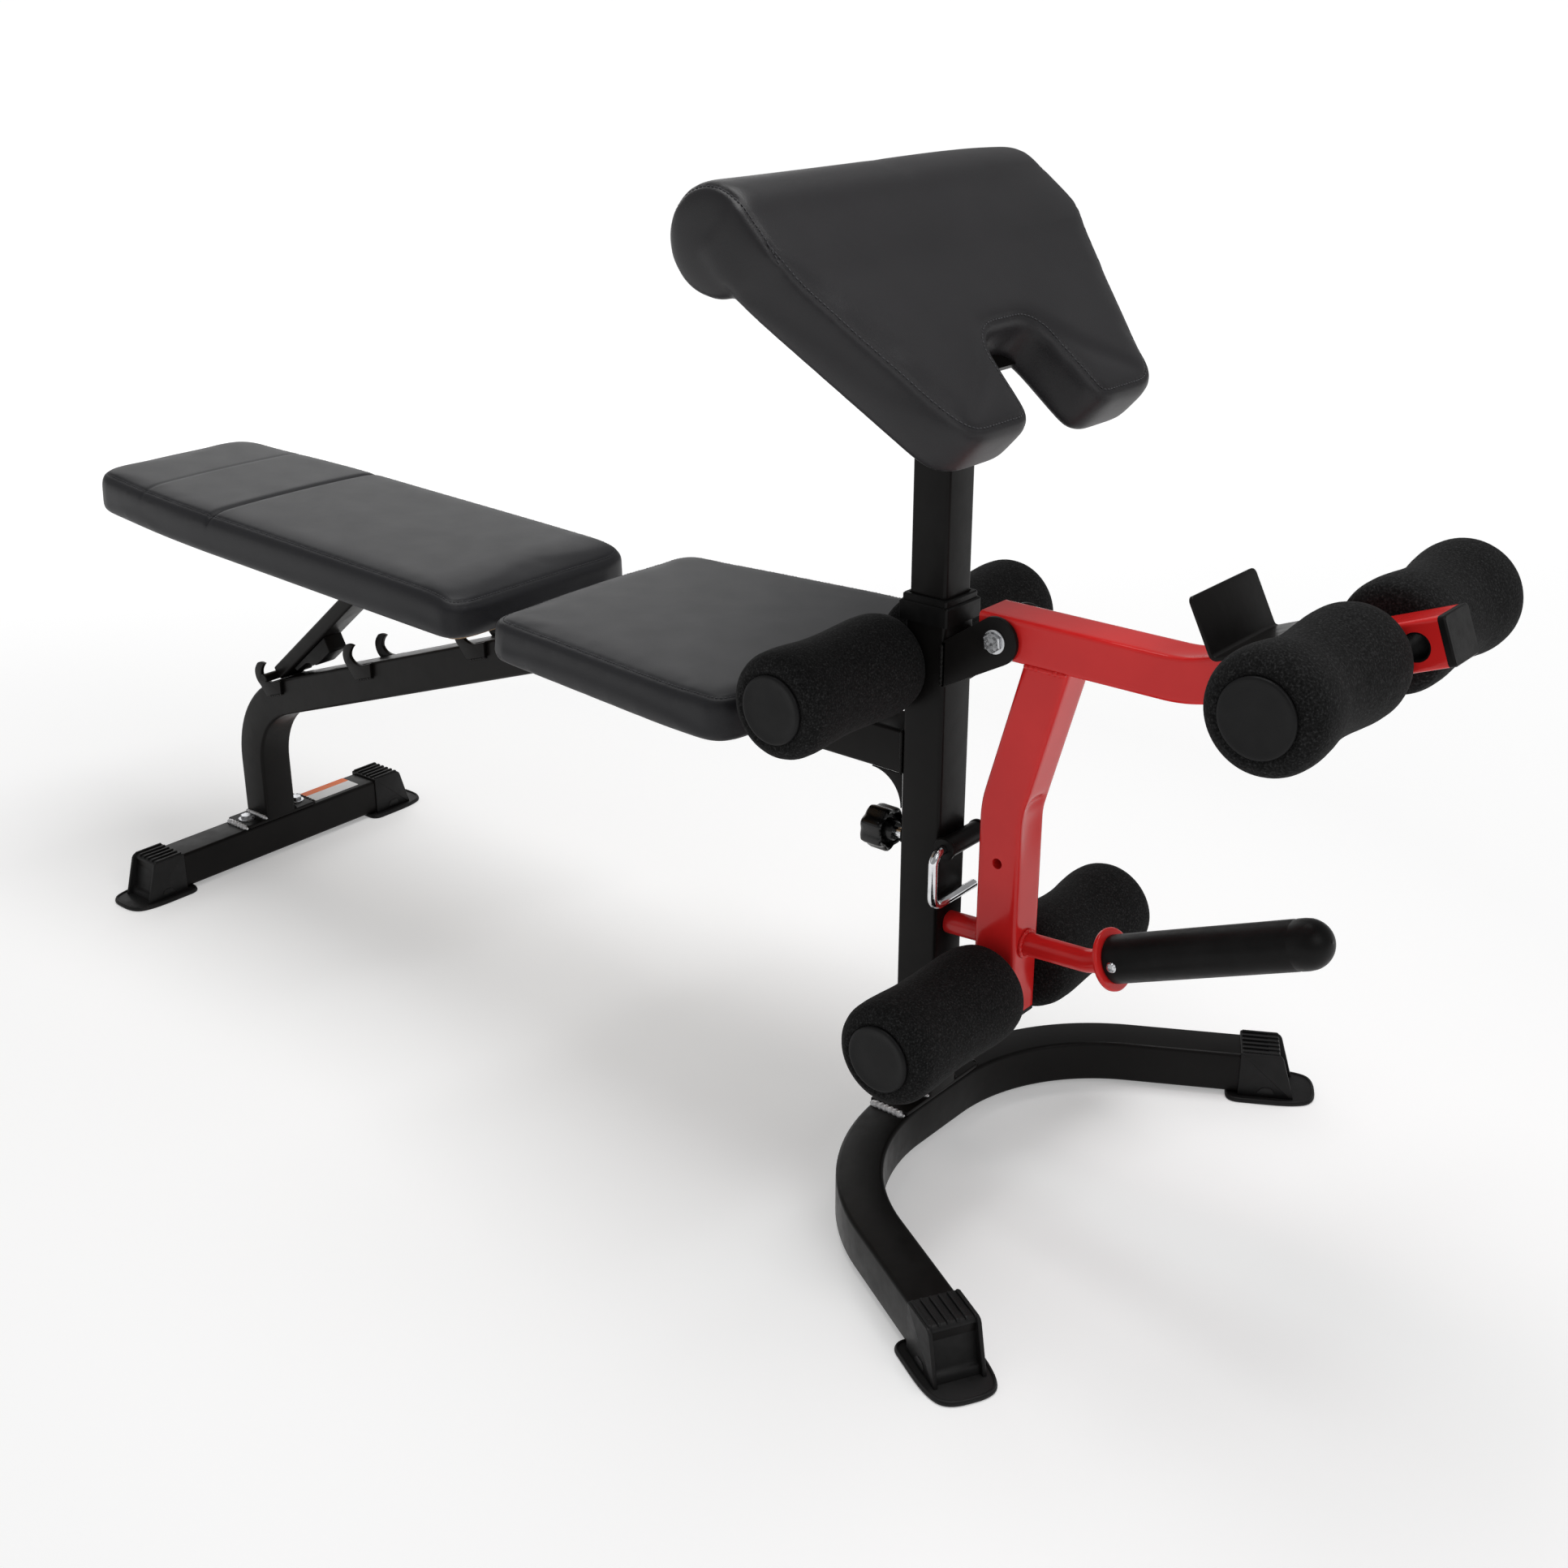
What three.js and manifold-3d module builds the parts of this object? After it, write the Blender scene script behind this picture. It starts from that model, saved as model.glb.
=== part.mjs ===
// Adjustable flat, incline and decline bench with an arm-curl pad and a leg developer.
// Millimetres, +Z up, +X towards the leg developer, and +Y across the bench.
// Heights count from the floor. While it is built, x = 0 is the middle of the front post.
import * as THREE from 'three';
import { mergeVertices } from 'three/addons/utils/BufferGeometryUtils.js';
import Module from 'manifold-3d';

const wasm = await Module();
wasm.setup();

// Square tube, 50 x 50, of the main frame.
const tubeHalf = 25;
const wall = 2;
const gap = 0.3; // between pieces that touch or turn
const tubeFloor = 6;
const tubeTop = tubeFloor + 2 * tubeHalf;
const plateThick = 5;
const plateTop = tubeTop + plateThick;

// Base plates under the rear leg and the front post: half length, and the bolts' distance from the middle.
const rearPlate = { half: 58, bolt: 44 };
const frontPlate = { half: 68, bolt: 50 };
const boltRadius = 5;
const axleRadius = 6;
const acrossAll = 60;

// Rear base, across the bench, and front base, bowed towards the leg developer.
const rearX = -1177;
const rearHalf = 214;
const footAngle = THREE.MathUtils.degToRad(29.2);
const frontCornerY = 176;
const frontBowRadius = 230;
const frontFoot = [271, 327];

// Rubber cap on each end of a base tube, with a rounded lip on the floor.
const cap = { height: 60.5, half: 27.5, length: 46, slope: 18, lipHalf: 38, lipOut: 41, lipIn: 14, lip: 4 };

// Main rail: up from the rear base, along a slope, then level into the front post.
const railSlope = THREE.MathUtils.degToRad(19.4);
const railRearBend = 126;
const railFrontBend = 120;
const railLevel = 458;
const railBendX = -536;
const postTop = 612;
const gussetReach = 38;

// Backrest hinge, its strut and the three pairs of hooks that the strut's rod drops into.
const hinge = [-575, 484];
const backPitch = THREE.MathUtils.degToRad(1.9);
const strutTop = [-866, 491];
const rodRadius = 6;
const rodHalf = 40;
const hookX = [-1105, -905, -680];
const rodLift = 8;

// Cushions.
const seatTop = 548;
const seatBoard = 503;
const cushionBoard = 12;
const backCushionTop = 63;
const backThick = 50;

// Roller bars: place in x and z, and the half length over the end discs.
const seatBar = { x: -44, z: 556, half: 216 };
const armBar = { x: 458.4, z: 672.6, half: 218 };
const shinBar = { x: 98, z: 227, half: 224 };
const barRadius = 12.5;
const discRadius = 35;
const discEdge = 3;

// Foam roller: radius at each distance from its outer end. It is fat at both ends and has a waist.
const foamProfile = [[0, 41], [5, 49], [12, 53.5], [24, 55.5], [44, 54], [66, 50], [88, 48.5], [112, 49.5],
  [136, 52], [158, 53.5], [176, 52], [184, 48], [187, 42]];

// Leg developer.
const pivot = [88, 606];
const armHalf = 22.5;
const armAngle = THREE.MathUtils.degToRad(21.65);
const armRear = 65;
const armBendX = 298;
const armEndX = 527.3;
const spareHoleX = 505;
const downX = 97.5;
const downBendZ = 425;
const downLean = THREE.MathUtils.degToRad(15.4);
const downEnd = 193;
const catchPlate = { half: 60, thick: 4, from: -197.5, foot: 70, height: 57, lean: 6 };
const weightBar = [[25.6, 268.2], [199, 279], [420.5, 371.4]];
const sleeveRadius = 25;
const sleeveLength = 218;
const ringAlong = 29;
const ringRadius = 32.5;

// Lock pin, a bent wire: one leg sits in the sleeve on the post, the other can lock the down tube.
const pinAxis = [37, 368];
const pinRadius = 5;
const pinReach = 61;
const pinBend = 50;
const sleeveHalf = 33;

// Arm-curl pad on its sliding post.
const slideHalf = 22.5;
const slideBottom = 240;
const padAngle = THREE.MathUtils.degToRad(43.3);
const padZ = 977;
const padThick = 50;
const padTopHalf = 254;
const padTaper = 0.405;
const padStart = -20;
const padEnd = 203;
const padNotch = 102;
const padRoll = { s: -75, n: -47.3, radius: 52, half: 254 };
const knob = { z: 353, radius: 23.5, lobe: 1.5, lobes: 7, from: -83, length: 30 };

// Finishes.
function finish(color, roughness, metalness) {
  return new THREE.MeshStandardMaterial({ color, roughness, metalness });
}


const blackSteel = finish(0x26272a, 0.45, 0.3);
const redSteel = finish(0xc8252b, 0.25, 0.2);
const blackRubber = finish(0x1c1c1e, 0.7, 0);
const blackPlastic = finish(0x18181a, 0.5, 0);
const blackFoam = finish(0x202022, 0.95, 0);
const greyHide = finish(0x3c3d42, 0.5, 0);
const plywood = finish(0x8a6a44, 0.8, 0);
const zincSteel = finish(0xb9bcc0, 0.3, 0.9);

const bench = new THREE.Group();

// ---------- solids ----------

function toSolid(geometry) {
  geometry.deleteAttribute('normal');
  geometry.deleteAttribute('uv');
  const merged = mergeVertices(geometry);
  return new wasm.Manifold(new wasm.Mesh({
    numProp: 3,
    vertProperties: new Float32Array(merged.attributes.position.array),
    triVerts: new Uint32Array(merged.index.array),
  }));
}

function toGeometry(solid) {
  const mesh = solid.getMesh();
  const geometry = new THREE.BufferGeometry();
  geometry.setAttribute('position', new THREE.BufferAttribute(new Float32Array(mesh.vertProperties), 3));
  geometry.setIndex(new THREE.BufferAttribute(new Uint32Array(mesh.triVerts), 1));
  return geometry;
}

function join(...parts) {
  return toGeometry(parts.map(toSolid).reduce((all, part) => all.add(part)));
}

function cut(base, ...tools) {
  return toGeometry(tools.map(toSolid).reduce((left, tool) => left.subtract(tool), toSolid(base)));
}

function add(name, geometry, material, parent = bench) {
  const mesh = new THREE.Mesh(geometry, material);
  mesh.name = name;
  parent.add(mesh);
  return mesh;
}

// A box from its lowest to its highest corner.
function block(low, high) {
  const size = high.map((value, i) => value - low[i]);
  const middle = high.map((value, i) => (value + low[i]) / 2);
  return new THREE.BoxGeometry(...size).translate(...middle);
}

// An outline drawn in x and z, given thickness from yLow to yHigh.
function sideways(shape, yLow, yHigh) {
  const options = { depth: yHigh - yLow, bevelEnabled: false, curveSegments: 8 };
  const body = new THREE.ExtrudeGeometry(shape, options);
  return body.rotateX(Math.PI / 2).translate(0, yHigh, 0);
}

// An outline drawn in x and y, given thickness from zLow to zHigh.
function upright(shape, zLow, zHigh) {
  const options = { depth: zHigh - zLow, bevelEnabled: false, curveSegments: 8 };
  const body = new THREE.ExtrudeGeometry(shape, options);
  return body.translate(0, 0, zLow);
}

function outline(points) {
  return new THREE.Shape(points.map(([a, b]) => new THREE.Vector2(a, b)));
}

// A round bar across the bench.
function crossBar(x, z, radius, yLow, yHigh, sides = 20) {
  return new THREE.CylinderGeometry(radius, radius, yHigh - yLow, sides).translate(x, (yLow + yHigh) / 2, z);
}

// A round bar that stands upright.
function pillar(x, y, radius, zLow, zHigh, sides = 16) {
  const bar = new THREE.CylinderGeometry(radius, radius, zHigh - zLow, sides).rotateX(Math.PI / 2);
  return bar.translate(x, y, (zLow + zHigh) / 2);
}

// A round bar along the bench.
function longBar(xLow, xHigh, z, radius, sides = 16) {
  const bar = new THREE.CylinderGeometry(radius, radius, xHigh - xLow, sides).rotateZ(Math.PI / 2);
  return bar.translate((xLow + xHigh) / 2, 0, z);
}

function boltHoles(x, plate) {
  const [low, high] = [tubeTop - 10, plateTop + 10];
  return [-plate.bolt, plate.bolt].map((y) => pillar(x, y, boltRadius + gap, low, high));
}

function turned(profile, sides = 20) {
  return new THREE.LatheGeometry(profile.map(([r, y]) => new THREE.Vector2(r, y)), sides);
}

// Points along a line whose corners are rounded, each with the unit normal on its left.
function roundedLine(corners, steps = 8) {
  const points = [];
  const at = corners.map(([x, y]) => new THREE.Vector2(x, y));
  const along = at.slice(1).map((point, i) => point.clone().sub(at[i]).normalize());
  const left = (d) => new THREE.Vector2(-d.y, d.x);
  points.push({ at: at[0], normal: left(along[0]) });
  for (let i = 1; i < at.length - 1; i += 1) {
    const [before, after] = [along[i - 1], along[i]];
    const turn = Math.atan2(before.cross(after), before.dot(after));
    const radius = corners[i][2];
    const back = radius * Math.tan(Math.abs(turn) / 2);
    const side = Math.sign(turn);
    const start = at[i].clone().addScaledVector(before, -back);
    const centre = start.clone().addScaledVector(left(before), side * radius);
    for (let k = 0; k <= steps; k += 1) {
      const normal = left(before).rotateAround(new THREE.Vector2(), (turn * k) / steps);
      points.push({ at: centre.clone().addScaledVector(normal, -side * radius), normal });
    }
  }
  points.push({ at: at[at.length - 1], normal: left(along[along.length - 1]) });
  return points;
}

// The band of a given half width along such a line.
function band(line, half) {
  const right = line.map(({ at, normal }) => at.clone().addScaledVector(normal, -half));
  const left = line.map(({ at, normal }) => at.clone().addScaledVector(normal, half));
  return new THREE.Shape([...right, ...left.reverse()]);
}

// The same line, longer at both ends, so that a bore cut along it comes out of the tube.
function longer(corners, extra) {
  const ends = corners.map(([x, y, radius]) => [x, y, radius]);
  const stretch = (end, next) => {
    const length = Math.hypot(end[0] - next[0], end[1] - next[1]);
    end[0] += ((end[0] - next[0]) / length) * extra;
    end[1] += ((end[1] - next[1]) / length) * extra;
  };
  stretch(ends[0], corners[1]);
  stretch(ends[ends.length - 1], corners[corners.length - 2]);
  return ends;
}

// A bent rectangular tube, open at both ends. The line lies in the plane that extrude draws in.
function bentTube(corners, half, low, high, extrude) {
  const outer = extrude(band(roundedLine(corners), half), low, high);
  const bore = extrude(band(roundedLine(longer(corners, 5)), half - wall), low + wall, high - wall);
  return cut(outer, bore);
}

// A round wire or bar along a line with rounded corners, through points in x, y and z.
function wire(points, bend, radius, sides, steps) {
  const path = new THREE.CurvePath();
  const at = points.map((point) => new THREE.Vector3(...point));
  let from = at[0];
  for (let i = 1; i < at.length - 1; i += 1) {
    const before = at[i].clone().sub(at[i - 1]).normalize();
    const after = at[i + 1].clone().sub(at[i]).normalize();
    const start = at[i].clone().addScaledVector(before, -bend);
    const end = at[i].clone().addScaledVector(after, bend);
    path.add(new THREE.LineCurve3(from, start));
    path.add(new THREE.QuadraticBezierCurve3(start, at[i], end));
    from = end;
  }
  path.add(new THREE.LineCurve3(from, at[at.length - 1]));
  const round = new THREE.Shape();
  round.absarc(0, 0, radius, 0, 2 * Math.PI);
  return new THREE.ExtrudeGeometry(round, { steps, curveSegments: sides / 2, extrudePath: path });
}

// ---------- bases ----------

// One cap, built around a tube that comes in along -x and ends just short of x = 0.
function capBody() {
  const side = outline([[-cap.length, 0], [cap.slope, 0], [0, cap.height], [-cap.length, cap.height]]);
  const lip = new THREE.Shape();
  const round = cap.lipOut - 15;
  lip.moveTo(-cap.length - cap.lipIn, -cap.lipHalf + 12);
  lip.quadraticCurveTo(-cap.length - cap.lipIn, -cap.lipHalf, -cap.length, -cap.lipHalf);
  lip.lineTo(cap.lipOut - round, -cap.lipHalf);
  lip.absellipse(cap.lipOut - round, 0, round, cap.lipHalf, -Math.PI / 2, Math.PI / 2);
  lip.lineTo(-cap.length, cap.lipHalf);
  lip.quadraticCurveTo(-cap.length - cap.lipIn, cap.lipHalf, -cap.length - cap.lipIn, cap.lipHalf - 12);
  const body = join(sideways(side, -cap.half, cap.half), upright(lip, 0, cap.lip));
  const room = tubeHalf + gap;
  const socket = block([-cap.length - 20, -room, tubeFloor - gap], [-2, room, tubeTop + gap]);
  return cut(body, socket);
}

function addCap(name, x, y, angle) {
  const mesh = add(name, capBody(), blackRubber);
  mesh.position.set(x, y, 0);
  mesh.rotation.z = angle;
}

function addBases() {
  const rear = cut(
    block([rearX - tubeHalf, -rearHalf, tubeFloor], [rearX + tubeHalf, rearHalf, tubeTop]),
    block([rearX - tubeHalf + wall, -rearHalf - 5, tubeFloor + wall],
      [rearX + tubeHalf - wall, rearHalf + 5, tubeTop - wall]),
    ...boltHoles(rearX, rearPlate),
  );
  add('rear_base_tube', rear, blackSteel);
  addCap('rear_cap_near', rearX, -rearHalf - 2.5, -Math.PI / 2);
  addCap('rear_cap_far', rearX, rearHalf + 2.5, Math.PI / 2);

  const [footX, footY] = frontFoot;
  const inset = 2.5;
  const tip = [footX - inset * Math.cos(footAngle), footY - inset * Math.sin(footAngle)];
  const corner = [0, frontCornerY, frontBowRadius];
  const bow = [[tip[0], -tip[1]], [0, -frontCornerY, frontBowRadius], corner, tip];
  const front = bentTube(bow, tubeHalf, tubeFloor, tubeTop, upright);
  add('front_base_tube', cut(front, ...boltHoles(0, frontPlate)), blackSteel);
  addCap('front_cap_near', footX, -footY, -footAngle);
  addCap('front_cap_far', footX, footY, footAngle);
}

// A hex-headed bolt that stands on a plate, its shank going down.
function addBaseBolt(name, x, y) {
  const head = pillar(x, y, 8.5, plateTop, plateTop + 7, 6);
  const shank = pillar(x, y, boltRadius, plateTop - 21, plateTop + 1);
  add(name, join(head, shank), zincSteel);
}

// ---------- main frame ----------

const railAt = (x) => railLevel + (x - railBendX) * Math.tan(railSlope);
const railTopAt = (x) => railAt(x) + tubeHalf / Math.cos(railSlope);
const rodAt = hookX.map((x) => [x, railTopAt(x) + rodLift]);

function basePlate(x, plate) {
  const flat = block([x - tubeHalf, -plate.half, tubeTop], [x + tubeHalf, plate.half, plateTop]);
  return cut(flat, ...boltHoles(x, plate));
}

// A quarter-round filler plate under the rail, flush with the tubes' side faces.
function gussetPlate(side) {
  const corner = [-tubeHalf, railLevel - tubeHalf];
  const shape = new THREE.Shape();
  shape.moveTo(corner[0] + 1, corner[1] + 1);
  shape.lineTo(corner[0] - gussetReach, corner[1] + 1);
  shape.lineTo(corner[0] - gussetReach, corner[1]);
  shape.absarc(corner[0] - gussetReach, corner[1] - gussetReach, gussetReach, Math.PI / 2, 0, true);
  shape.lineTo(corner[0] + 1, corner[1] - gussetReach);
  const outer = side * tubeHalf;
  return sideways(shape, Math.min(outer, outer - side * wall), Math.max(outer, outer - side * wall));
}

function addMainFrame() {
  const rearTop = railAt(rearX);
  const line = [
    [rearX, plateTop - 1],
    [rearX, rearTop, railRearBend],
    [railBendX, railLevel, railFrontBend],
    [-tubeHalf, railLevel],
  ];
  const rail = bentTube(line, tubeHalf, -tubeHalf, tubeHalf, sideways);
  const gussets = [-1, 1].map((side) => gussetPlate(side));
  const ears = [-1, 1].map((side) => hingeEar(side));
  const postSpace = block([-tubeHalf, -40, 300], [tubeHalf, 40, 600]);
  const hingeHole = crossBar(...hinge, axleRadius + gap, -acrossAll, acrossAll);
  const welded = join(rail, ...gussets, ...ears, basePlate(rearX, rearPlate));
  add('main_rail', cut(welded, postSpace, hingeHole), blackSteel);

  const post = cut(
    block([-tubeHalf, -tubeHalf, plateTop - 1], [tubeHalf, tubeHalf, postTop]),
    block([wall - tubeHalf, wall - tubeHalf, plateTop - 5], [tubeHalf - wall, tubeHalf - wall, postTop + 5]),
  );
  const nut = longBar(-tubeHalf - 11, -tubeHalf + 1, knob.z, 11, 6);
  const hole = longBar(-tubeHalf - 17, -tubeHalf + 7, knob.z, axleRadius + gap);
  const sleeve = crossBar(pinAxis[0], pinAxis[1], 12.6, -sleeveHalf, sleeveHalf);
  const bore = crossBar(pinAxis[0], pinAxis[1], pinRadius + gap, -sleeveHalf - 5, sleeveHalf + 5);
  const keepOut = block([wall - tubeHalf, wall - tubeHalf, 300], [tubeHalf - wall, tubeHalf - wall, 400]);
  const foot = basePlate(0, frontPlate);
  add('front_post', cut(join(post, nut, sleeve, foot), hole, bore, keepOut), blackSteel);
  addBaseBolt('rear_bolt_near', rearX, -rearPlate.bolt);
  addBaseBolt('rear_bolt_far', rearX, rearPlate.bolt);
  addBaseBolt('front_bolt_near', 0, -frontPlate.bolt);
  addBaseBolt('front_bolt_far', 0, frontPlate.bolt);
}

// Two-step plastic collar that guides the sliding post.
function addCollar() {
  const room = slideHalf + gap;
  const lower = block([-30, -30, 606], [30, 30, 626]);
  const upper = block([-27.5, -27.5, 625], [27.5, 27.5, 633]);
  const side = tubeHalf + gap;
  const over = block([-side, -side, 600], [side, side, postTop + gap]);
  const through = block([-room, -room, 600], [room, room, 640]);
  add('post_collar', cut(join(lower, upper), over, through), blackPlastic);
}

// One hook: a horn that leans back over the rod, on a plate welded to the rail's side face.
function hookShape([x, z]) {
  const p = ([dx, dz]) => [x + dx, z + dz];
  const to = (shape, ...points) => {
    const [a, b] = points.map(p);
    if (b) shape.quadraticCurveTo(...a, ...b);
    else shape.lineTo(...a);
  };
  const shape = new THREE.Shape();
  shape.moveTo(...p([-25, 15]));
  to(shape, [-34, 6], [-33, -2]);
  to(shape, [-32, -12], [-24, -17]);
  to(shape, [-11, -31]);
  to(shape, [22, -20]);
  to(shape, [22, -1]);
  to(shape, [4, -7.5]);
  to(shape, [-12, -10], [-18, 0]);
  to(shape, [-19, 8], [-9, 17]);
  to(shape, [-18, 19], [-25, 15]);
  return shape;
}

function addHooks() {
  rodAt.forEach((rod, i) => {
    add(`hook_${i + 1}_near`, sideways(hookShape(rod), -tubeHalf - 5, -tubeHalf), blackSteel);
    add(`hook_${i + 1}_far`, sideways(hookShape(rod), tubeHalf, tubeHalf + 5), blackSteel);
  });
}

// ---------- seat ----------

function seatShape(inset) {
  const shape = new THREE.Shape();
  const [rear, front, narrow, wide] = [-507 + inset, -112 - inset, 168 - inset, 202 - inset];
  shape.moveTo(rear + 34, -narrow);
  shape.lineTo(-200, -wide);
  shape.lineTo(-150, -wide);
  shape.quadraticCurveTo(front, -wide, front, -wide + 45);
  shape.lineTo(front, wide - 45);
  shape.quadraticCurveTo(front, wide, -150, wide);
  shape.lineTo(-200, wide);
  shape.lineTo(rear + 34, narrow);
  shape.quadraticCurveTo(rear + 12, narrow, rear + 9, narrow - 24);
  shape.quadraticCurveTo(rear, 0, rear + 9, -narrow + 24);
  shape.quadraticCurveTo(rear + 12, -narrow, rear + 34, -narrow);
  return shape;
}

function addSeat() {
  add('seat_board', upright(seatShape(10), seatBoard, seatBoard + cushionBoard), plywood);
  add('seat_cushion', upright(seatShape(0), seatBoard + cushionBoard, seatTop), greyHide);
  const railTop = railLevel + tubeHalf;
  const channel = cut(
    block([-430, -40, railTop], [-190, 40, seatBoard]),
    block([-440, -36, railTop + 4], [-180, 36, seatBoard - 4]),
  );
  add('seat_bracket', channel, blackSteel);
  const bar = cut(
    join(
      crossBar(seatBar.x, seatBar.z, barRadius, -seatBar.half + 22, seatBar.half - 22),
      block([seatBar.x, -20, seatBar.z - 16], [-tubeHalf, 20, seatBar.z + 16]),
    ),
    crossBar(seatBar.x, seatBar.z, barRadius - wall, -seatBar.half, seatBar.half),
  );
  add('seat_roller_bar', bar, blackSteel);
}

// ---------- rollers ----------

// A contoured foam roller with its end disc, on one side of a bar. side is -1 near or 1 far.
function addRoller(name, bar, side, parent) {
  const outer = bar.half - discEdge;
  const bore = barRadius + gap;
  const inner = outer - foamProfile[foamProfile.length - 1][0];
  const skin = foamProfile.map(([distance, radius]) => [radius, outer - distance]).reverse();
  const foam = turned([[bore, inner], ...skin, [bore, outer], [bore, inner]]);
  const lid = turned([
    [0, outer - 18],
    [bore - gap, outer - 18],
    [bore - gap, outer],
    [discRadius, outer],
    [discRadius - 1, outer + discEdge],
    [0, outer + discEdge],
  ]);
  [['foam', foam, blackFoam], ['disc', lid, blackPlastic]].forEach(([part, geometry, material]) => {
    if (side < 0) geometry.rotateX(Math.PI);
    add(`${name}_${part}`, geometry, material, parent).position.set(bar.x, 0, bar.z);
  });
}

// ---------- backrest ----------

// The backrest is drawn from its hinge: x runs towards the seat, so the head end is at -x.
function backShape(inset) {
  const shape = new THREE.Shape();
  const [head, seat, wide, narrow] = [-758 + inset, 6 - inset, 150 - inset, 128 - inset];
  shape.moveTo(head + 45, -narrow);
  shape.lineTo(-560, -wide + 4);
  shape.lineTo(-60, -wide);
  shape.quadraticCurveTo(seat, -wide, seat, -wide + 60);
  shape.lineTo(seat, wide - 60);
  shape.quadraticCurveTo(seat, wide, -60, wide);
  shape.lineTo(-560, wide - 4);
  shape.lineTo(head + 45, narrow);
  shape.quadraticCurveTo(head, narrow, head, narrow - 45);
  shape.lineTo(head, -narrow + 45);
  shape.quadraticCurveTo(head, -narrow, head + 45, -narrow);
  return shape;
}

// The two ears that hold the backrest's hinge bolt, welded to the rail's side faces.
function hingeEar(side) {
  const [top, foot] = [11, -30];
  const ear = outline([[-20, foot], [20, foot], [12, 4], [6, top], [-6, top], [-12, 4]]);
  const [inner, outer] = [side * (tubeHalf - 0.5), side * (tubeHalf + 5)];
  return sideways(ear, Math.min(outer, inner), Math.max(outer, inner)).translate(hinge[0], 0, hinge[1]);
}

function addHingeBolt() {
  const shank = crossBar(...hinge, axleRadius, -tubeHalf - 6, tubeHalf + 13);
  const head = crossBar(...hinge, 10, -tubeHalf - 12, -tubeHalf - 5 - gap, 6);
  add('hinge_bolt', join(shank, head), zincSteel);
}

// The strut's top pivot in the backrest's own frame.
const strutLocal = (() => {
  const [dx, dz] = [strutTop[0] - hinge[0], strutTop[1] - hinge[1]];
  const [c, s] = [Math.cos(backPitch), Math.sin(backPitch)];
  return [c * dx - s * dz, s * dx + c * dz];
})();

function addBackrest() {
  const back = new THREE.Group();
  back.position.set(hinge[0], 0, hinge[1]);
  back.rotation.y = backPitch;
  bench.add(back);
  const under = backCushionTop - backThick;
  const board = under + cushionBoard;
  add('back_board', upright(backShape(10), under, board), plywood, back);
  add('back_cushion', upright(backShape(0), board + gap, backCushionTop), greyHide, back);

  const top = under - gap;
  const [inner, outer, low] = [21, 41, top - 30];
  const end = -640;
  const rail = (side) => block(
    [end, Math.min(side * inner, side * outer), low],
    [-34, Math.max(side * inner, side * outer), top],
  );
  const barrel = crossBar(0, 0, 12, -tubeHalf + 0.5, tubeHalf - 0.5);
  const web = [-1, 1].map((side) => sideways(
    outline([[-60, low + 4], [-34, low + 7], [2, -10], [2, top], [-60, top]]),
    Math.min(side * 12, side * (inner + 3)),
    Math.max(side * 12, side * (inner + 3)),
  ));
  const crossHead = block([end + 20, -inner - 1, low], [end + 50, inner + 1, top]);
  const crossSeat = block([-110, -inner - 1, top - 12], [-80, inner + 1, top]);
  const bore = crossBar(0, 0, axleRadius + gap, -acrossAll, acrossAll);
  const strutHole = crossBar(...strutLocal, boltRadius + gap, -acrossAll, acrossAll);
  const hollows = [-1, 1].map((side) => block(
    [end - 5, Math.min(side * (inner + wall), side * (outer - wall)), low + wall],
    [-20, Math.max(side * (inner + wall), side * (outer - wall)), top - wall],
  ));
  const frame = cut(join(rail(-1), rail(1)), ...hollows);
  const welded = join(frame, barrel, ...web, crossHead, crossSeat);
  add('back_frame', cut(welded, bore, strutHole), blackSteel, back);
  const shank = crossBar(...strutLocal, boltRadius, -outer - 1, outer + 9);
  const head = crossBar(...strutLocal, 9, -outer - 7, -outer - gap, 6);
  add('strut_bolt', join(shank, head), zincSteel, back);
}

// The strut is drawn along x from its rod, x = 0, to its top pivot.
function addStrut() {
  const [foot, top] = [rodAt[0], strutTop];
  const length = Math.hypot(top[0] - foot[0], top[1] - foot[1]);
  const strut = new THREE.Group();
  strut.position.set(foot[0], 0, foot[1]);
  strut.rotation.y = -Math.atan2(top[1] - foot[1], top[0] - foot[0]);
  bench.add(strut);
  const [half, halfY] = [10, 20];
  const tube = cut(
    join(block([16, -halfY, -half], [length, halfY, half]), crossBar(length, 0, half, -halfY, halfY)),
    block([10, wall - halfY, wall - half], [length + 20, halfY - wall, half - wall]),
  );
  const tabs = [-1, 1].map((side) => block(
    [0, Math.min(side * 17, side * halfY), -5],
    [30, Math.max(side * 17, side * halfY), 5],
  ));
  const rod = crossBar(0, 0, rodRadius, -rodHalf, rodHalf);
  const hole = crossBar(length, 0, boltRadius + gap, -acrossAll, acrossAll);
  add('strut', cut(join(tube, ...tabs, rod), hole), blackSteel, strut);
  const guard = outline([[40, -10 - gap], [42, -17], [72, -19], [88, -32], [130, -32], [134, -10 - gap]]);
  add('strut_guard', sideways(guard, -15, 15), blackPlastic, strut);
}

// ---------- leg developer ----------

const pivotLevel = 609;
const armAt = (x) => pivotLevel + Math.max(0, x - armBendX) * Math.tan(armAngle);

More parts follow.
